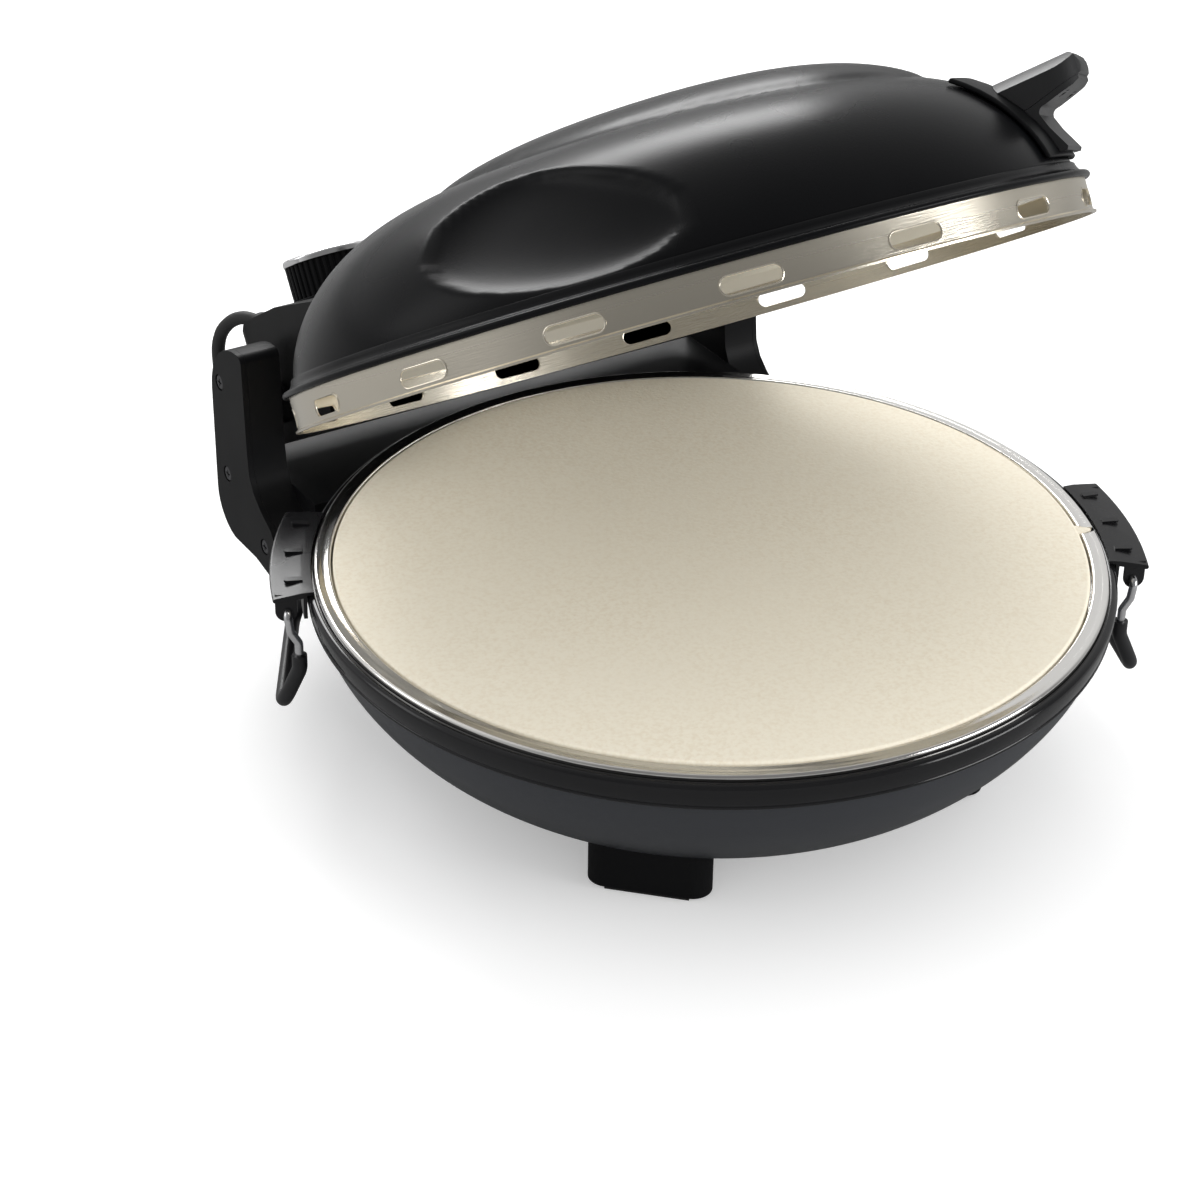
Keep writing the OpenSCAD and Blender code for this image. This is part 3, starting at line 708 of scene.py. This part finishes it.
class FittingTree(Nodes):
    """A Geometry Nodes tree that sets copies of a fitting on points."""

    INPUTS: Sequence[tuple[str, str]] = ()
    SHARP = 35.0

    def __init__(self, name: str) -> None:
        """Builds the tree with its named inputs.

        Args:
            name: The tree's name.
        """
        super().__init__(bpy.data.node_groups.new(name, "GeometryNodeTree"))
        face = self.tree.interface
        face.new_socket("Geometry", in_out="OUTPUT", socket_type="NodeSocketGeometry")
        for socket, kind in (*self.INPUTS, ("Fitting", "Object"), ("Finish", "Material")):
            face.new_socket(socket, in_out="INPUT", socket_type="NodeSocket" + kind)
        given = self.add("NodeGroupInput").outputs
        points, turn = self.places(given)
        fitting = self.add("GeometryNodeObjectInfo", {"Object": given["Fitting"]})
        copies = self.add("GeometryNodeInstanceOnPoints", {
            "Points": points, "Instance": fitting.outputs["Geometry"], "Rotation": turn})
        real = self.add("GeometryNodeRealizeInstances", {"Geometry": copies.outputs[0]})
        paint = self.add("GeometryNodeSetMaterial", {
            "Geometry": real.outputs[0], "Material": given["Finish"]})
        self.add("NodeGroupOutput", {"Geometry": paint.outputs[0]})

    def places(self, given: bpy.types.NodeOutputs) -> tuple[Socket, Socket]:
        """Gives the points that the copies stand on and how each is turned."""
        raise NotImplementedError

    def make(self, name: str, fitting: Obj, finish: Finish, seats: Sequence[Point3] = (),
             **values: object) -> Obj:
        """Runs the tree and keeps its result as one plain mesh.

        Args:
            name: The new object's name.
            fitting: The fitting, drawn at the origin, which is used up.
            finish: What the copies are finished in.
            seats: The points of the mesh that the tree is given, in metres.
            values: What the tree's other inputs are set to.

        Returns:
            The new object.
        """
        mesh = bpy.data.meshes.new(name + "_seats")
        mesh.from_pydata(list(seats), [], [])
        carrier = placed(name + "_seats", mesh)
        mod = carrier.modifiers.new("fittings", "NODES")
        mod.node_group = self.tree
        values.update(Fitting=fitting, Finish=finish.material())
        for item in self.tree.interface.items_tree:
            if item.in_out == "INPUT" and item.name in values:
                mod[item.identifier] = values[item.name]
        done = baked(carrier, name, self.SHARP)
        bpy.data.objects.remove(fitting)
        return done


class RingOfFittings(FittingTree):
    """A tree that sets copies of a fitting round a circle, its X pointing outwards."""

    INPUTS = (("Count", "Int"), ("Radius", "Float"))

    def places(self, given: bpy.types.NodeOutputs) -> tuple[Socket, Socket]:
        """Gives a circle's points and the turn of each.

        Args:
            given: The tree's inputs.

        Returns:
            The points and the turns.
        """
        circle = self.add("GeometryNodeMeshCircle", {
            "Vertices": given["Count"], "Radius": given["Radius"]})
        index = self.add("GeometryNodeInputIndex").outputs[0]
        step = self.maths("DIVIDE", math.tau, given["Count"])
        spin = self.add("ShaderNodeCombineXYZ", {"Z": self.maths("MULTIPLY", index, step)})
        return circle.outputs["Mesh"], spin.outputs[0]


class SeatedFittings(FittingTree):
    """A tree that sets a copy of a fitting, which stands up along Z, on each seat."""

    INPUTS = (("Seats", "Geometry"), ("Turn", "Rotation"))
    SHARP = 30.0

    def places(self, given: bpy.types.NodeOutputs) -> tuple[Socket, Socket]:
        """Gives the seats and the turn that all copies share."""
        return given["Seats"], given["Turn"]


# ---- sub-assemblies ----


@dataclass
class SubAssembly:
    """A group of pieces that ride on one body."""

    body: Body

    def seat(self, obj: Obj, finish: Finish, *replaced: str) -> None:
        """Finishes a piece, rides it on this body and hides the CAD nodes that it stands for.

        Args:
            obj: The piece.
            finish: What it is finished in.
            replaced: The CAD nodes that it stands for.
        """
        obj.data.materials.clear()
        obj.data.materials.append(finish.material())
        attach(obj, self.body.value)
        if replaced:
            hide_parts(*replaced)
        LOG.info("%s rides on %s", obj.name, self.body.value)

    def soften(self, finish: Finish, bevel: float, *nodes: str, **rounding: float) -> None:
        """Seats an edge-rounded copy in the place of each of some CAD nodes."""
        for node in nodes:
            self.seat(softened_copy(node, bevel, **rounding), finish, node)

    @staticmethod
    def dress(finish: Finish, *nodes: str) -> None:
        """Gives CAD nodes that stay as they are their finish.

        Args:
            finish: What they are finished in.
            nodes: The CAD nodes.
        """
        for name in nodes:
            data = FRAME["nodes"][name].data
            data.materials.clear()
            data.materials.append(finish.material())
            LOG.info("%s is finished in %s", name, finish.name)


@dataclass
class Pan(SubAssembly):
    """The round base: pan, rim, steel tray, stone, feet and brackets."""

    body: Body = Body.BASE
    floor_r: float = 100.0
    foot_h: float = 14.0
    wall: float = 1.0
    curve_power: float = 4 / 3

    def curve(self, grow: float, steps: int = 40) -> list[Point2]:
        """Gives the half section of the pan's side.

        Args:
            grow: How far it is pushed outwards, in millimetres.
            steps: How many stations lie along it.

        Returns:
            Radius and height of its points, from the top down.
        """
        top_r, top_z = SIZES.rim_r - 3.5, SIZES.pan_top
        out = []
        for a in (math.pi / 2 * k / steps for k in range(steps + 1)):
            c, s = max(0.0, math.cos(a)), math.sin(a)
            r = self.floor_r + (top_r - self.floor_r) * c ** self.curve_power + grow * c
            out.append((r, top_z - (top_z - self.foot_h) * s ** self.curve_power - grow * s))
        return out

    def build(self) -> None:
        """Builds and dresses the base."""
        floor = [(0.0, self.foot_h), (0.0, self.foot_h + self.wall)]
        section = self.curve(0.0) + floor + self.curve(-self.wall)[::-1]
        self.seat(Skin("pan_bowl").turned(section), Finishes.PAN_PAINT, "base_pan")
        self.rim()
        self.tray()
        self.stone()
        self.dress(Finishes.PAN_REFLECTOR, "lower_reflector", "lower_element_clips")
        self.dress(Finishes.ELEMENT, "lower_element")
        self.dress(Finishes.RUBBER, "foot_pads")
        self.dress(Finishes.SCREW_STEEL, "foot_screws")
        self.soften(Finishes.BLACK_PLASTIC, 0.8, "foot_front_left", "foot_front_right",
                    "foot_rear_left", "foot_rear_right")
        self.soften(Finishes.BRACKET_PAINT, 0.35, "bracket_left", "bracket_right", segments=2)
        self.dress(Finishes.DARK_SCREW, "bracket_rivets")

    def rim(self) -> None:
        """Makes the gloss black rim with its bead and rolled crest."""
        r, z0, top = SIZES.rim_r, SIZES.pan_top, SIZES.rim_crest
        profile = [
            (r - 7.5, z0), (r - 3.3, z0), *arc((r - 1.9, z0 + 1.0), 1.0, -90, 45, 15),
            (r - 1.0, z0 + 2.3), (r - 0.5, z0 + 4.0), (r - 0.1, z0 + 6.5),
            *arc((r - 2.4, top - 2.4), 2.4, 0, 90, 9),
            (r - 3.4, top - 0.3), (r - 3.4, top - 2.6), (r - 6.5, top - 2.6),
            (r - 6.5, top - 4.0), (r - 2.4, top - 4.0), (r - 2.6, z0 + 2.2),
            (r - 3.8, z0 + 1.4), (r - 7.5, z0 + 1.4)]
        self.seat(Skin("rim_ring", sharp=50.0).turned(profile), Finishes.RIM_ENAMEL, "base_rim")

    def tray(self) -> None:
        """Makes the steel tray whose polished flange shows round the stone."""
        t, top, seat_z = 0.8, SIZES.stone_top - 0.5, SIZES.stone_top - 10.0
        inner, outer = SIZES.tray_in, SIZES.trim_r
        ledge = inner - 10.0
        profile = [
            (ledge, seat_z - t), (inner + t, seat_z - t), (inner + t, top - t - 1.0),
            (inner + t + 0.4, top - t - 0.3), (outer - t - 0.6, top - t - 0.2),
            (outer - t, top - t - 0.8), (outer - t, top - 4.9), (outer, top - 4.9),
            *arc((outer - 1.4, top - 1.4), 1.4, 0, 90, 10),
            (outer - 3.0, top - 0.25), (inner + 2.2, top - 0.35), (inner + 1.2, top),
            *arc((inner + 0.9, top - 0.9), 0.9, 100, 180, 16), (inner, seat_z), (ledge, seat_z)]
        notch = self.wedge("lug_notch", (inner - 1.0, 4.0), (outer + 1.0, 0.8),
                           SIZES.stone_top - 4.6, SIZES.stone_top + 1.0)
        ring = Skin("tray_ring", sharp=60.0).turned(profile)
        self.seat(combined(ring, notch, "DIFFERENCE", 50.0), Finishes.TRAY_STEEL, "stone_tray")

    def stone(self) -> None:
        """Makes the baking stone, with a softly broken edge and the lug on its rim."""
        r, top, e = SIZES.stone_r, SIZES.stone_top, 1.5
        low = top - 10.0
        profile = [
            (0.0, low), *arc((r - e, low + e), e, -90, 0, 15), *arc((r - e, top - e), e, 0, 90, 15),
            (r * 0.66, top), (r * 0.33, top), (0.0, top)]
        lug = self.wedge("stone_lug", (r - 3.0, 4.6), (SIZES.trim_r - 2.0, 0.7), top - 4.0,
                         top - 0.4)
        disc = Skin("stone_disc").turned(profile)
        self.seat(combined(disc, lug, "UNION"), Finishes.STONE, "pizza_stone")

    @staticmethod
    def wedge(name: str, near: Point2, far: Point2, low: float, high: float) -> Obj:
        """Makes an upright wedge that points outwards where the stone's lug is.

        Args:
            name: The object's name.
            near: Distance and half width of its inner end, in millimetres.
            far: Distance and half width of its outer end.
            low: Height of its underside.
            high: Height of its top.

        Returns:
            The new object.
        """
        plan = ((near[0], -near[1]), (far[0], -far[1]), far, near)
        turn = Matrix.Rotation(math.radians(SIZES.lug_angle), 4, "Z")
        return Skin(name, turn).prism(plan, low, high)


@dataclass
class HingeBox(SubAssembly):
    """The box behind the pan, its towers, covers, screws and the link cable."""

    body: Body = Body.BASE
    half: float = 132.0
    cable_x: float = -102.0
    screw_r: float = 3.4
    cross: Point2 = (0.55, 1.05)  # how far a ring of the recess goes in and its lobes go out
    screws: Sequence[Point2] = (
        (SIZES.box_back - 8.0, SIZES.hinge_z + 10.8), (SIZES.box_back - 11.0, SIZES.hinge_z - 32.4),
        (SIZES.box_back - 45.0, SIZES.stone_top - 34.4))
    head: Sequence[Point2] = (
        (0.0, 1.25), (0.30, 1.1), (0.36, 0.08), (0.62, 0.0), (0.86, 0.12), (0.98, 0.45),
        (1.0, 0.8), (1.0, 1.4), (0.45, 1.4), (0.45, 9.0), (0.0, 9.0))
    route: Sequence[Point3] = (
        (0, 12.5, 41), (-1.5, 17, 41.4), (-3.5, 22, 40.6), (-5.5, 27, 38), (-7.5, 31, 34),
        (-9, 34, 29), (-10, 35.5, 22), (-10, 35.5, 14), (-10, 34.5, 6), (-9, 32, -2),
        (-7.5, 28, -9), (-5.5, 23, -15), (-3.5, 17.5, -20), (-2.2, 13, -23.6), (-2, 9, -25.2),
        (-2, 5.5, -25.5))

    def build(self) -> None:
        """Builds and dresses the hinge box."""
        self.soften(Finishes.BLACK_PLASTIC, 0.9, "hinge_box")
        self.soften(Finishes.BLACK_PLASTIC, 0.7, "side_cover_left", "side_cover_right")
        self.cover_screws()
        self.dress(Finishes.BLACK_PLASTIC, "box_bottom_cover")
        self.dress(Finishes.SCREW_STEEL, "bottom_cover_screws", "hinge_pin_left",
                   "hinge_pin_right")
        self.dress(Finishes.RUBBER, "box_cable_gland")
        self.dress(Finishes.CERAMIC, "terminal_block")
        self.cable()

    def cover_screws(self) -> None:
        """Makes the recessed cross-head screws of both side covers."""
        tree = SeatedFittings("seated cover screws")
        for side, name, replaced in ((1, "right", ()), (-1, "left", ("side_cover_screws",))):
            seats = [(side * (self.half - 0.2) * MM, y * MM, z * MM) for y, z in self.screws]
            screws = tree.make("cover_screws_" + name, self.screw_head(), Finishes.DARK_SCREW,
                               seats, Turn=(0.0, math.radians(90 * side), 0.0))
            self.seat(screws, Finishes.DARK_SCREW, *replaced)

    def screw_head(self, steps: int = 32) -> Obj:
        """Makes a pan-head screw with a cross recess, its crest at the origin.

        Args:
            steps: How many stations lie round it.

        Returns:
            The screw, standing along Z, which the caller hands to a node tree.
        """
        skin = Skin("screw_head")
        rings: list[Ring] = []
        narrow, lobe = self.cross
        for share, drop in self.head:
            recessed = 0.0 < share < 0.5 and drop < 2.0
            points = []
            for a in turns(steps):
                cross = narrow + lobe * abs(math.cos(2 * a)) ** 3 if recessed else 1.0
                r = self.screw_r * share * cross
                points.append((r * math.cos(a), r * math.sin(a), -drop))
            rings.append(skin.ring(points))
        skin.cover(rings)
        bmesh.ops.remove_doubles(skin.bm, verts=skin.bm.verts, dist=1e-7)
        return skin.done()

    def cable(self) -> None:
        """Makes the link cable that bends between the lid's housing and the box."""
        line = self.smooth_route()
        cable = Skin("link_cable_loop").bar(line, SIZES.cable_r, 16)
        cable.data.materials.append(Finishes.RUBBER.material())
        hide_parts("link_cable")
        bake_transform(cable)

    def smooth_route(self, steps: int = 3) -> list[Vector]:
        """Smooths the cable's centre line between its stations.

        Args:
            steps: How many points lie between two stations.

        Returns:
            The points, in metres.
        """
        foot = Vector((self.cable_x, SIZES.box_back, SIZES.stone_top))
        pts = [(foot + Vector(p)) * MM for p in self.route]
        out: list[Vector] = []
        for p0, p1, p2, p3 in zip([pts[0], *pts], pts, pts[1:], [*pts[2:], pts[-1]]):
            for t in (k / steps for k in range(steps)):
                out.append(0.5 * ((2 * p1) + (p2 - p0) * t
                                  + (2 * p0 - 5 * p1 + 4 * p2 - p3) * t * t
                                  + (3 * p1 - p0 - 3 * p2 + p3) * t ** 3))
        return out + [pts[-1]]


@dataclass
class Bail(SubAssembly):
    """A carrying bail: bent steel wire with a black sleeve over its lower part."""

    angle: float = 0.0
    leg: Sequence[Point2] = ((0.0, 0.0), (-1.0, -8.0), (-4.0, -13.0), (-4.0, -21.0))
    grip: Sequence[Point2] = ((-4.0, -18.5), (-4.0, -25.0), (4.0, -43.0))
    wire_bend: float = 3.2
    grip_bend: float = 9.0

    def build(self) -> None:
        """Builds the wire, which is two legs in one object, and its sleeve."""
        side = self.body.value.split("_")[1]
        matrix = Matrix.Rotation(math.radians(self.angle), 4, "Z")
        wire = Skin("bail_wire_" + side)
        for s in (-1, 1):
            points = [self.point((0.0, 0.0), s * (SIZES.tab_half - 3.0))]
            points += [self.point(p, s * SIZES.bail_half) for p in self.leg]
            line = rounded_line(points, self.wire_bend * MM)
            leg = Skin(f"bail_wire_{side}_{s}", matrix).bar(line, SIZES.wire_r, 16)
            wire.bm.from_mesh(leg.data)
            bpy.data.objects.remove(leg)
        self.seat(wire.done(), Finishes.WIRE_STEEL, "bail_" + side)
        points = [self.point(p, -SIZES.bail_half) for p in self.grip]
        points += [self.point(p, SIZES.bail_half) for p in self.grip[::-1]]
        line = rounded_line(points, self.grip_bend * MM, 10)
        sleeve = Skin("bail_sleeve_" + side, matrix).bar(line, SIZES.sleeve_r, 24)
        self.seat(sleeve, Finishes.SLEEVE, "bail_grip_" + side)

    @staticmethod
    def point(place: Point2, along: float) -> Vector:
        """Gives a point, in metres, from its place out and up from the pivot and along the rim."""
        return Vector(((SIZES.bail_r + place[0]) * MM, along * MM, (SIZES.bail_z + place[1]) * MM))


@dataclass
class Lid(SubAssembly):
    """The domed lid with its band, handle and rear housing."""

    body: Body = Body.LID
    around: int = 288
    down: int = 72
    down_power: float = 1.15
    crown_power: float = 1.2
    hump_middle: float = 11.0
    hump_reach: float = 103.0
    hump_half: float = 70.0
    hump_power: float = 0.7
    recess_rise: float = 27.5
    recess_lean: float = 3.0
    recess_turn: float = 20.0
    recess_half: float = 21.0
    recess_power: float = 0.6
    slots: int = 16
    slot_len: float = 23.0
    slot_h: float = 7.0
    slot_rise: float = 6.2
    slot_bead: float = 0.4

    def build(self) -> None:
        """Builds and dresses the lid."""
        self.seat(self.dome(), Finishes.LID_PAINT, "lid_shell")
        self.lip()
        self.dress(Finishes.BAND_STEEL_PAINTED_REFLECTION, "lid_band")
        self.slot_rims()
        self.dress(Finishes.REFLECTOR, "lid_reflector", "upper_element_clips")
        self.dress(Finishes.ELEMENT, "upper_element")
        self.soften(Finishes.LID_PLASTIC, 1.0, "rear_housing", ends=6.5)
        self.dress(Finishes.BLACK_PLASTIC, "hinge_bush_left", "hinge_bush_right")
        self.dress(Finishes.RUBBER, "lid_cable_gland")
        self.dress(Finishes.SCREW_STEEL, "thermostat")
        self.dress(Finishes.DARK_SCREW, "handle_screws")
        self.soften(Finishes.LID_PLASTIC, 0.8, "handle_plate")
        self.soften(Finishes.HANDLE_PLASTIC, 2.2, "handle_grip_top", segments=4)
        self.soften(Finishes.HANDLE_PLASTIC, 1.2, "handle_grip_bottom", segments=4)

    def hump(self, s: float, w: float) -> float:
        """Gives the rise of the hump at s along the handle's line and w across it."""
        d = ((s - self.hump_middle) / self.hump_reach) ** 2 + (w / self.hump_half) ** 2
        return SIZES.hump_h * (1.0 - d) ** self.hump_power if d < 1.0 else 0.0

    def scallop(self, angle: float, z: float) -> float:
        """Gives the depth of the side recess.

        Args:
            angle: The angle round the lid, in degrees.
            z: The plain dome's height there, in millimetres.

        Returns:
            The depth, in millimetres.
        """
        turn = ((angle - SIZES.handle_angle + SIZES.scallop_turn + 540.0) % 360.0) - 180.0
        rise = z - SIZES.dome_z - self.recess_rise + turn / self.recess_lean
        d = (turn / self.recess_turn) ** 2 + (rise / self.recess_half) ** 2
        return SIZES.scallop_depth * (1.0 - d) ** self.recess_power if d < 1.0 else 0.0

    def dome_point(self, angle: float, t: float, grow: float) -> Point3:
        """Gives a point of the dome.

        Args:
            angle: The angle round the lid, in degrees.
            t: 0 at the top and 90 at the lip.
            grow: How far the point lies outside the skin, in millimetres.

        Returns:
            The point, in millimetres, with the lid shut.
        """
        c, s = max(0.0, math.cos(math.radians(t))), math.sin(math.radians(t))
        crown = c ** self.crown_power
        cut = grow - self.scallop(angle, SIZES.dome_z + SIZES.dome_h * crown)
        r = (SIZES.dome_r + cut) * math.sqrt(s)
        turn, a = math.radians(angle - SIZES.handle_angle), math.radians(angle)
        z = (SIZES.dome_z + (SIZES.dome_h + cut) * crown
             + self.hump(r * math.cos(turn), r * math.sin(turn)))
        return r * math.cos(a), r * math.sin(a), z

    def dome(self) -> Obj:
        """Makes the painted dome, closed along its lip.

        Returns:
            The dome.
        """
        skin = Skin("dome_skin", SIZES.opened(), 60.0)
        edges: list[Ring] = []
        for grow in (0.0, -SIZES.dome_wall):
            rings = [skin.ring([self.dome_point(0.0, 0.0, grow)]) * self.around]
            for share in (i / self.down for i in range(1, self.down + 1)):
                t = 90.0 * share ** self.down_power
                rings.append(skin.ring(self.dome_point(360.0 * k / self.around, t, grow)
                                       for k in range(self.around)))
            skin.cover(rings)
            edges.append(rings[-1])
        skin.cover(edges)
        return skin.done()

    def lip(self) -> None:
        """Makes the rolled black lip under the dome."""
        d, z = SIZES.dome_r, SIZES.lip_z
        profile = [
            (d - 2.6, z), (d + 4.4, z), *arc((d + 4.0, z + 1.4), 1.4, -75, 90, 15),
            (d + 2.8, z + 3.0), (d + 1.7, z + 3.9), (d + 1.0, z + 5.2), (d + 0.6, z + 6.6),
            (d + 0.15, z + 7.0), (d + 0.15, z + 2.0), (d - 2.6, z + 2.0)]
        self.seat(Skin("lip_ring", SIZES.opened(), 60.0).turned(profile), Finishes.LID_PAINT,
                  "lid_rim")

    def slot_rims(self) -> None:
        """Makes the rolled edge round each steam slot, which follows the band's curve."""
        half, r, band_r = (self.slot_len - self.slot_h) / 2, self.slot_h / 2, SIZES.band_r * MM
        rise = Matrix.Translation((0.0, 0.0, (SIZES.stone_top + self.slot_rise) * MM))
        skin = Skin("slot_rim", rise)
        rings: list[Ring] = []
        for middle, start in ((half, -90), (-half, 90)):
            centre = Vector((0.0, middle * MM, 0.0))
            for y, z in arc((middle, 0.0), r, start, start + 180, 15):
                p = Vector((0.0, y * MM, z * MM))
                rings.append(skin.hoop(p, self.slot_bead * MM, (p - centre).normalized(),
                                       Vector((1, 0, 0)), 8))
        skin.cover(rings, closed=True)
        for vert in skin.bm.verts:
            vert.co.x -= band_r - math.sqrt(band_r ** 2 - vert.co.y ** 2)
        rims = RingOfFittings("ring of slot rims").make(
            "slot_rims", skin.done(), Finishes.BAND_STEEL_PAINTED_REFLECTION, Count=self.slots,
            Radius=(SIZES.band_r - 0.1) * MM)
        rims.data.transform(SIZES.opened())
        self.seat(rims, Finishes.BAND_STEEL_PAINTED_REFLECTION)


@dataclass
class Knob(SubAssembly):
    """The temperature knob: ribbed black side, chrome cap and steel shaft."""

    body: Body = Body.KNOB
    ribs: int = 40
    rib_plan: Sequence[Point2] = ((-1.2, -1.0), (-0.35, -0.85), (0.0, -0.35), (0.0, 0.35),
                                  (-0.35, 0.85), (-1.2, 1.0))

    def build(self) -> None:
        """Builds and dresses the knob, which stands on the open lid's housing."""
        place = SIZES.opened() @ Matrix.Translation(
            (SIZES.knob_x * MM, SIZES.knob_y * MM, (SIZES.neck_top + 0.6) * MM))
        r, h = SIZES.knob_r, SIZES.knob_h - 3.0
        core = [(0.0, 0.0), (r + 0.3, 0.0), (r + 0.5, 0.3), (r + 0.5, 1.2), (r + 0.2, 1.6),
                (r - 0.9, 1.9), (r - 0.9, h - 0.3), (r - 1.2, h), (0.0, h)]
        self.seat(Skin("knob_core", place).turned(core, 96), Finishes.BLACK_PLASTIC,
                  "temperature_knob")
        ribs = RingOfFittings("ring of knob ribs").make(
            "knob_ribs", Skin("knob_rib").prism(self.rib_plan, 1.6, h - 0.2),
            Finishes.BLACK_PLASTIC, Count=self.ribs, Radius=r * MM)
        ribs.data.transform(place)
        self.seat(ribs, Finishes.BLACK_PLASTIC)
        cap = [(0.0, h), (r + 0.2, h), (r + 0.4, h + 0.2), (r + 0.4, h + 1.6),
               *arc((r - 0.8, h + 1.8), 1.2, 0, 90, 15),
               (r - 2.2, h + 2.9), (r - 2.9, h + 2.3), (0.0, h + 2.3)]
        self.seat(Skin("knob_crown", place).turned(cap, 96), Finishes.CHROME, "knob_cap")
        self.dress(Finishes.SCREW_STEEL, "knob_shaft")


# ---- studio ----


@dataclass(frozen=True)
class SoftBox:
    """A rectangular lamp."""

    name: str
    spot: Point3
    aim: Point3
    wide: float
    tall: float
    power: float

    def build(self) -> None:
        """Sets the lamp up."""
        data = bpy.data.lights.new(self.name, "AREA")
        data.shape = "RECTANGLE"
        data.size, data.size_y, data.energy = self.wide, self.tall, self.power
        look = (Vector(self.aim) - Vector(self.spot)).to_track_quat("-Z", "Y")
        spot = Matrix.Translation(self.spot)
        placed(self.name, data).matrix_world = spot @ look.to_matrix().to_4x4()


@dataclass(frozen=True)
class Studio:
    """The floor, lamps, world and camera: angles in degrees, lamps and floor in metres.

    The camera's distance and sensor are in millimetres, and its other lengths in pixels.
    """

    turn: float = -34.80
    rise: float = 30.32
    roll: float = 2.07
    distance: float = 1202.67
    focal_px: float = 2925.0
    centre_px: Point2 = (712.4, 548.6)
    frame_px: Point2 = (1200.0, 1181.0)
    sensor: float = 36.0
    sight: float = 30.0
    floor_reach: float = 12.0
    floor_roughness: float = 0.9
    floor_specular: float = 0.1
    floor_grey: float = 0.90
    mirrored_grey: float = 0.30
    floor_lift: float = 0.28
    surround: float = 0.90
    mirrored_front: float = 0.18
    mirrored_back: float = 0.66
    lamps: Sequence[SoftBox] = (
        SoftBox("back soft box", (0.35, 1.50, 1.00), (0.0, 0.05, 0.2), 1.3, 0.6, 20.0),
        SoftBox("left soft box", (-1.45, 0.85, 0.70), (0.0, 0.0, 0.15), 0.6, 0.8, 2.0),
        SoftBox("right soft box", (0.95, -1.20, 0.50), (0.0, 0.0, 0.1), 0.9, 0.5, 10.0))

    def build(self) -> None:
        """Sets up everything that isn't the oven."""
        bpy.context.scene.view_settings.view_transform = "Standard"
        self.camera()
        self.floor()
        self.world()
        for lamp in self.lamps:
            lamp.build()

    def camera(self) -> None:
        """Sets up the camera, which looks down over the front left at the stone."""
        wide, tall = self.frame_px
        data = bpy.data.cameras.new("studio camera")
        data.sensor_width = self.sensor
        data.lens = self.focal_px / wide * self.sensor
        data.shift_x = (wide / 2 - self.centre_px[0]) / wide
        data.shift_y = (self.centre_px[1] - tall / 2) / wide
        data.clip_end = self.sight
        place = Matrix.Translation((0.0, 0.0, SIZES.stone_top * MM))
        for angle, axis in ((self.turn, "Z"), (90.0 - self.rise, "X"), (self.roll, "Z")):
            place = place @ Matrix.Rotation(math.radians(angle), 4, axis)
        cam = placed("studio camera", data)
        cam.matrix_world = place @ Matrix.Translation((0.0, 0.0, self.distance * MM))
        bpy.context.scene.camera = cam

    def floor(self) -> None:
        """Lays a pale floor that keeps the oven's shadow and is duller where it is mirrored."""
        mesh, r = bpy.data.meshes.new("studio floor"), self.floor_reach
        mesh.from_pydata([(-r, -r, 0.0), (r, -r, 0.0), (r, r, 0.0), (-r, r, 0.0)], [],
                         [(0, 1, 2, 3)])
        mat = bpy.data.materials.new("pale studio floor")
        mat.use_nodes = True
        nodes, shader = Nodes(mat.node_tree), mat.node_tree.nodes["Principled BSDF"]
        own, mirrored = ((grey, grey, grey, 1.0) for grey in (self.floor_grey, self.mirrored_grey))
        path = nodes.add("ShaderNodeLightPath").outputs
        colour = nodes.add("ShaderNodeMix", {
            "A": own, "B": mirrored, "Factor": path["Is Glossy Ray"]}, data_type="RGBA")
        nodes.feed(shader, {
            "Base Color": colour.outputs["Result"], "Roughness": self.floor_roughness,
            "Specular IOR Level": self.floor_specular, "Emission Color": WHITE,
            "Emission Strength": nodes.maths("MULTIPLY", path["Is Camera Ray"], self.floor_lift)})
        mesh.materials.append(mat)
        placed("studio floor", mesh)

    def world(self) -> None:
        """Makes a pale surround, white to the camera and brighter behind where it is mirrored."""
        world = bpy.data.worlds.new("pale surround")
        bpy.context.scene.world = world
        world.use_nodes = True
        world.node_tree.nodes.clear()
        nodes = Nodes(world.node_tree)
        path = nodes.add("ShaderNodeLightPath").outputs
        seen = nodes.maths("MAXIMUM", path["Is Camera Ray"], path["Is Transmission Ray"])
        ahead = nodes.add("ShaderNodeTexCoord").outputs["Generated"]
        parts = nodes.add("ShaderNodeSeparateXYZ", {0: ahead}).outputs
        mirrored = nodes.between(parts["Y"], self.mirrored_front, self.mirrored_back, -0.5, 0.5,
                                 "SMOOTHSTEP")
        lit = nodes.between(path["Is Glossy Ray"], self.surround, mirrored)
        glow = nodes.add("ShaderNodeBackground", {
            "Color": WHITE, "Strength": nodes.between(seen, lit, 1.0)})
        nodes.add("ShaderNodeOutputWorld", {"Surface": glow.outputs[0]})


def main() -> None:
    """Builds the oven's dressed pieces in order."""
    logging.basicConfig(level=logging.INFO, format="%(message)s")
    FRAME.update(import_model())
    Studio().build()
    for part in (Pan(), HingeBox(), Bail(Body.BAIL_LEFT, angle=149.5),
                 Bail(Body.BAIL_RIGHT, angle=-22.4), Lid(), Knob()):
        part.build()
        LOG.info("%s is finished", type(part).__name__)


if __name__ == "__main__":
    main()
